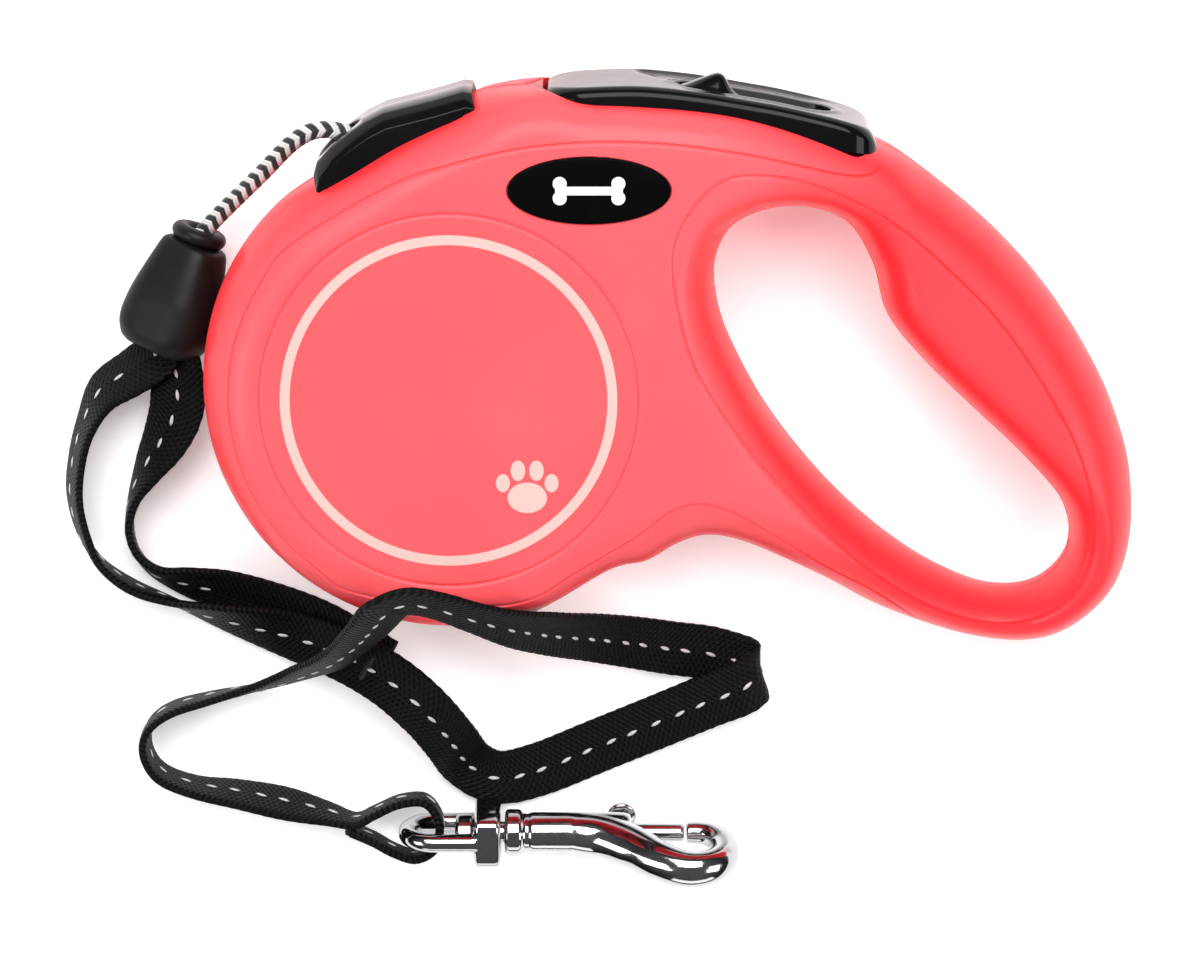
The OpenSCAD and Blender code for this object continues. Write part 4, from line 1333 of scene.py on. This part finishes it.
def hook_casting():
    """Barrel and jaw in one casting, bored for the bolt and slotted for its stud."""
    barrel = [(-29.2, 0.4), (-29.2, 3.7), (-28.9, 4.15), (-28.5, 4.25), (-26.7, 4.25), (-26.3, 4.15),
              (-26.0, 3.8), (-25.7, 3.45), (-25.0, 3.4), (-24.6, 3.6), (-24.2, 3.75), (-18, BARREL_R),
              (-10, 3.75), (-7.4, 3.65), (-6.7, 3.45), (-6.3, 3.1), (-6.3, 0.4)]
    jaw = [(-20, 0, 3.0, 3.0), (-16, 0.3, 3.75, 3.85), (-11, 1.4, 4.1, 4.0), (-6, 4.4, 4.0, 3.9),
           (-1.5, 8.2, 3.5, 3.75), (3.5, 10.8, 3.1, 3.55), (7.7, 10.3, 2.9, 3.35), (10.3, 7.5, 2.7, 3.1),
           (10.5, 3.8, 2.5, 2.8), (8.6, 1.1, 2.2, 2.4), (6.4, 0.1, 2.05, 2.15), (4.1, 0, 2.0, 2.0),
           (3.7, 0, 1.75, 1.75)]
    obj = fused("hook_casting", [revolve(barrel, HOOK), sweep(jaw, HOOK)], 0.24, 7)
    cut(obj, make_object("bore", *revolve([(-23.5, BOLT_R + 0.1), (-1.2, BOLT_R + 0.1)], HOOK), chrome))
    cut(obj, make_object("slot", *box(HOOK, (-15.2, -5.2), (-8, 0), (-0.95, 0.95)), chrome))
    sharpen(obj, 38)
    return dress(obj, "hook", "hook_body")


def spring_bolt():
    """The bolt with its stud and the stud's thumb head."""
    shaft = [(-15.8, 0.3), (-15.8, 1.6), (-15.6, BOLT_R), (2.8, BOLT_R), (3.15, 1.5), (3.3, 1.1), (3.3, 0.2)]
    stud = [(-8, y, 0.85, 0.85) for y in (-0.5, -2.5, -4.9)]
    head = [(-8, y, r, r) for y, r in ((-4.55, 1.6), (-4.75, 2.45), (-5.2, 2.65), (-5.75, 2.3), (-6.1, 1.2))]
    obj = fused("hook_spring_bolt", [revolve(shaft, HOOK, 40), sweep(stud, HOOK, 24), sweep(head, HOOK, 40)],
                0.16, 3)
    return dress(obj, "bolt", "hook_bolt")


def swivel_eye():
    """D-shaped eye with its collar block, bored for the rivet."""
    bend, far = 5, -41.9
    d_ring = [(-33.5, bend, 1.75, 1.75), (-38, bend, 1.72, 1.72), (far, bend, 1.7, 1.7)]
    for a in np.radians(np.arange(112.5, 270, 22.5)):
        d_ring.append((far + bend * math.cos(a), bend * math.sin(a), 1.7, 1.7))
    d_ring += [(far, -bend, 1.7, 1.7), (-38, -bend, 1.72, 1.72), (-33.5, -bend, 1.75, 1.75)]
    collar = []
    for x, g in ((-34.7, 0.9), (-34.5, 0.35), (-34.1, 0.0), (-30.5, 0.0), (-30.1, 0.35), (-29.9, 0.9)):
        collar.append([EYE @ Vector((x, y, z)) for y, z in superellipse(6.55 - g, 4.9 - g, 5.5, 64)])
    obj = fused("swivel_eye_casting", [sweep(d_ring, EYE, 32), skin(collar)], 0.22, 5)
    cut(obj, make_object("bore", *revolve([(-36, 2.1), (-29, 2.1)], EYE), chrome))
    sharpen(obj, 38)
    return dress(obj, "casing", "swivel_eye")


def swivel_rivet():
    head = [(-38.2, 0.3), (-38.2, 2.6), (-37.9, 3.1), (-37.5, 3.25), (-35.5, 3.25), (-35.1, 3.1),
            (-34.8, 2.6), (-34.8, 0.3)]
    shank = [(-35.2, 0.3), (-35.2, 2.0), (-29.25, 2.0), (-29.25, 0.3)]
    obj = fused("swivel_rivet_headed", [revolve(head, HOOK, 40), revolve(shank, HOOK, 40)], 0.14, 2)
    return dress(obj, "hook", "swivel_rivet")


hook_set = [hook_casting(), spring_bolt(), swivel_eye(), swivel_rivet()]

# ------------------------------------------------------------------ plain CAD nodes get their finish
FINISH = {
    "casing_screws": plain_steel, "brake_spring": plain_steel, "spool_axle": plain_steel,
    "power_spring": plain_steel, "cord_crimp": plain_steel, "hook_bolt_spring": plain_steel,
    "axle_washers": brass, "brake_plunger": nylon, "plunger_guide": nylon, "spring_arbor": nylon,
    "spool_drum": drum_black, "ratchet_flange": drum_black, "spring_cover": drum_black,
    "cord_winding": drum_black}
for node, mat in FINISH.items():
    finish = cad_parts[node].data.materials
    finish.clear()
    finish.append(mat)

# ------------------------------------------------------------------ soft parts: their lengths and points, worked out and left unused
length_of(lead_line) * MM
length_of(main_line) * MM
[tuple(p * MM) for p in main_line[::3]]
length_of(inner_line) * MM
[tuple(p * MM) for p in inner_line[::3]]
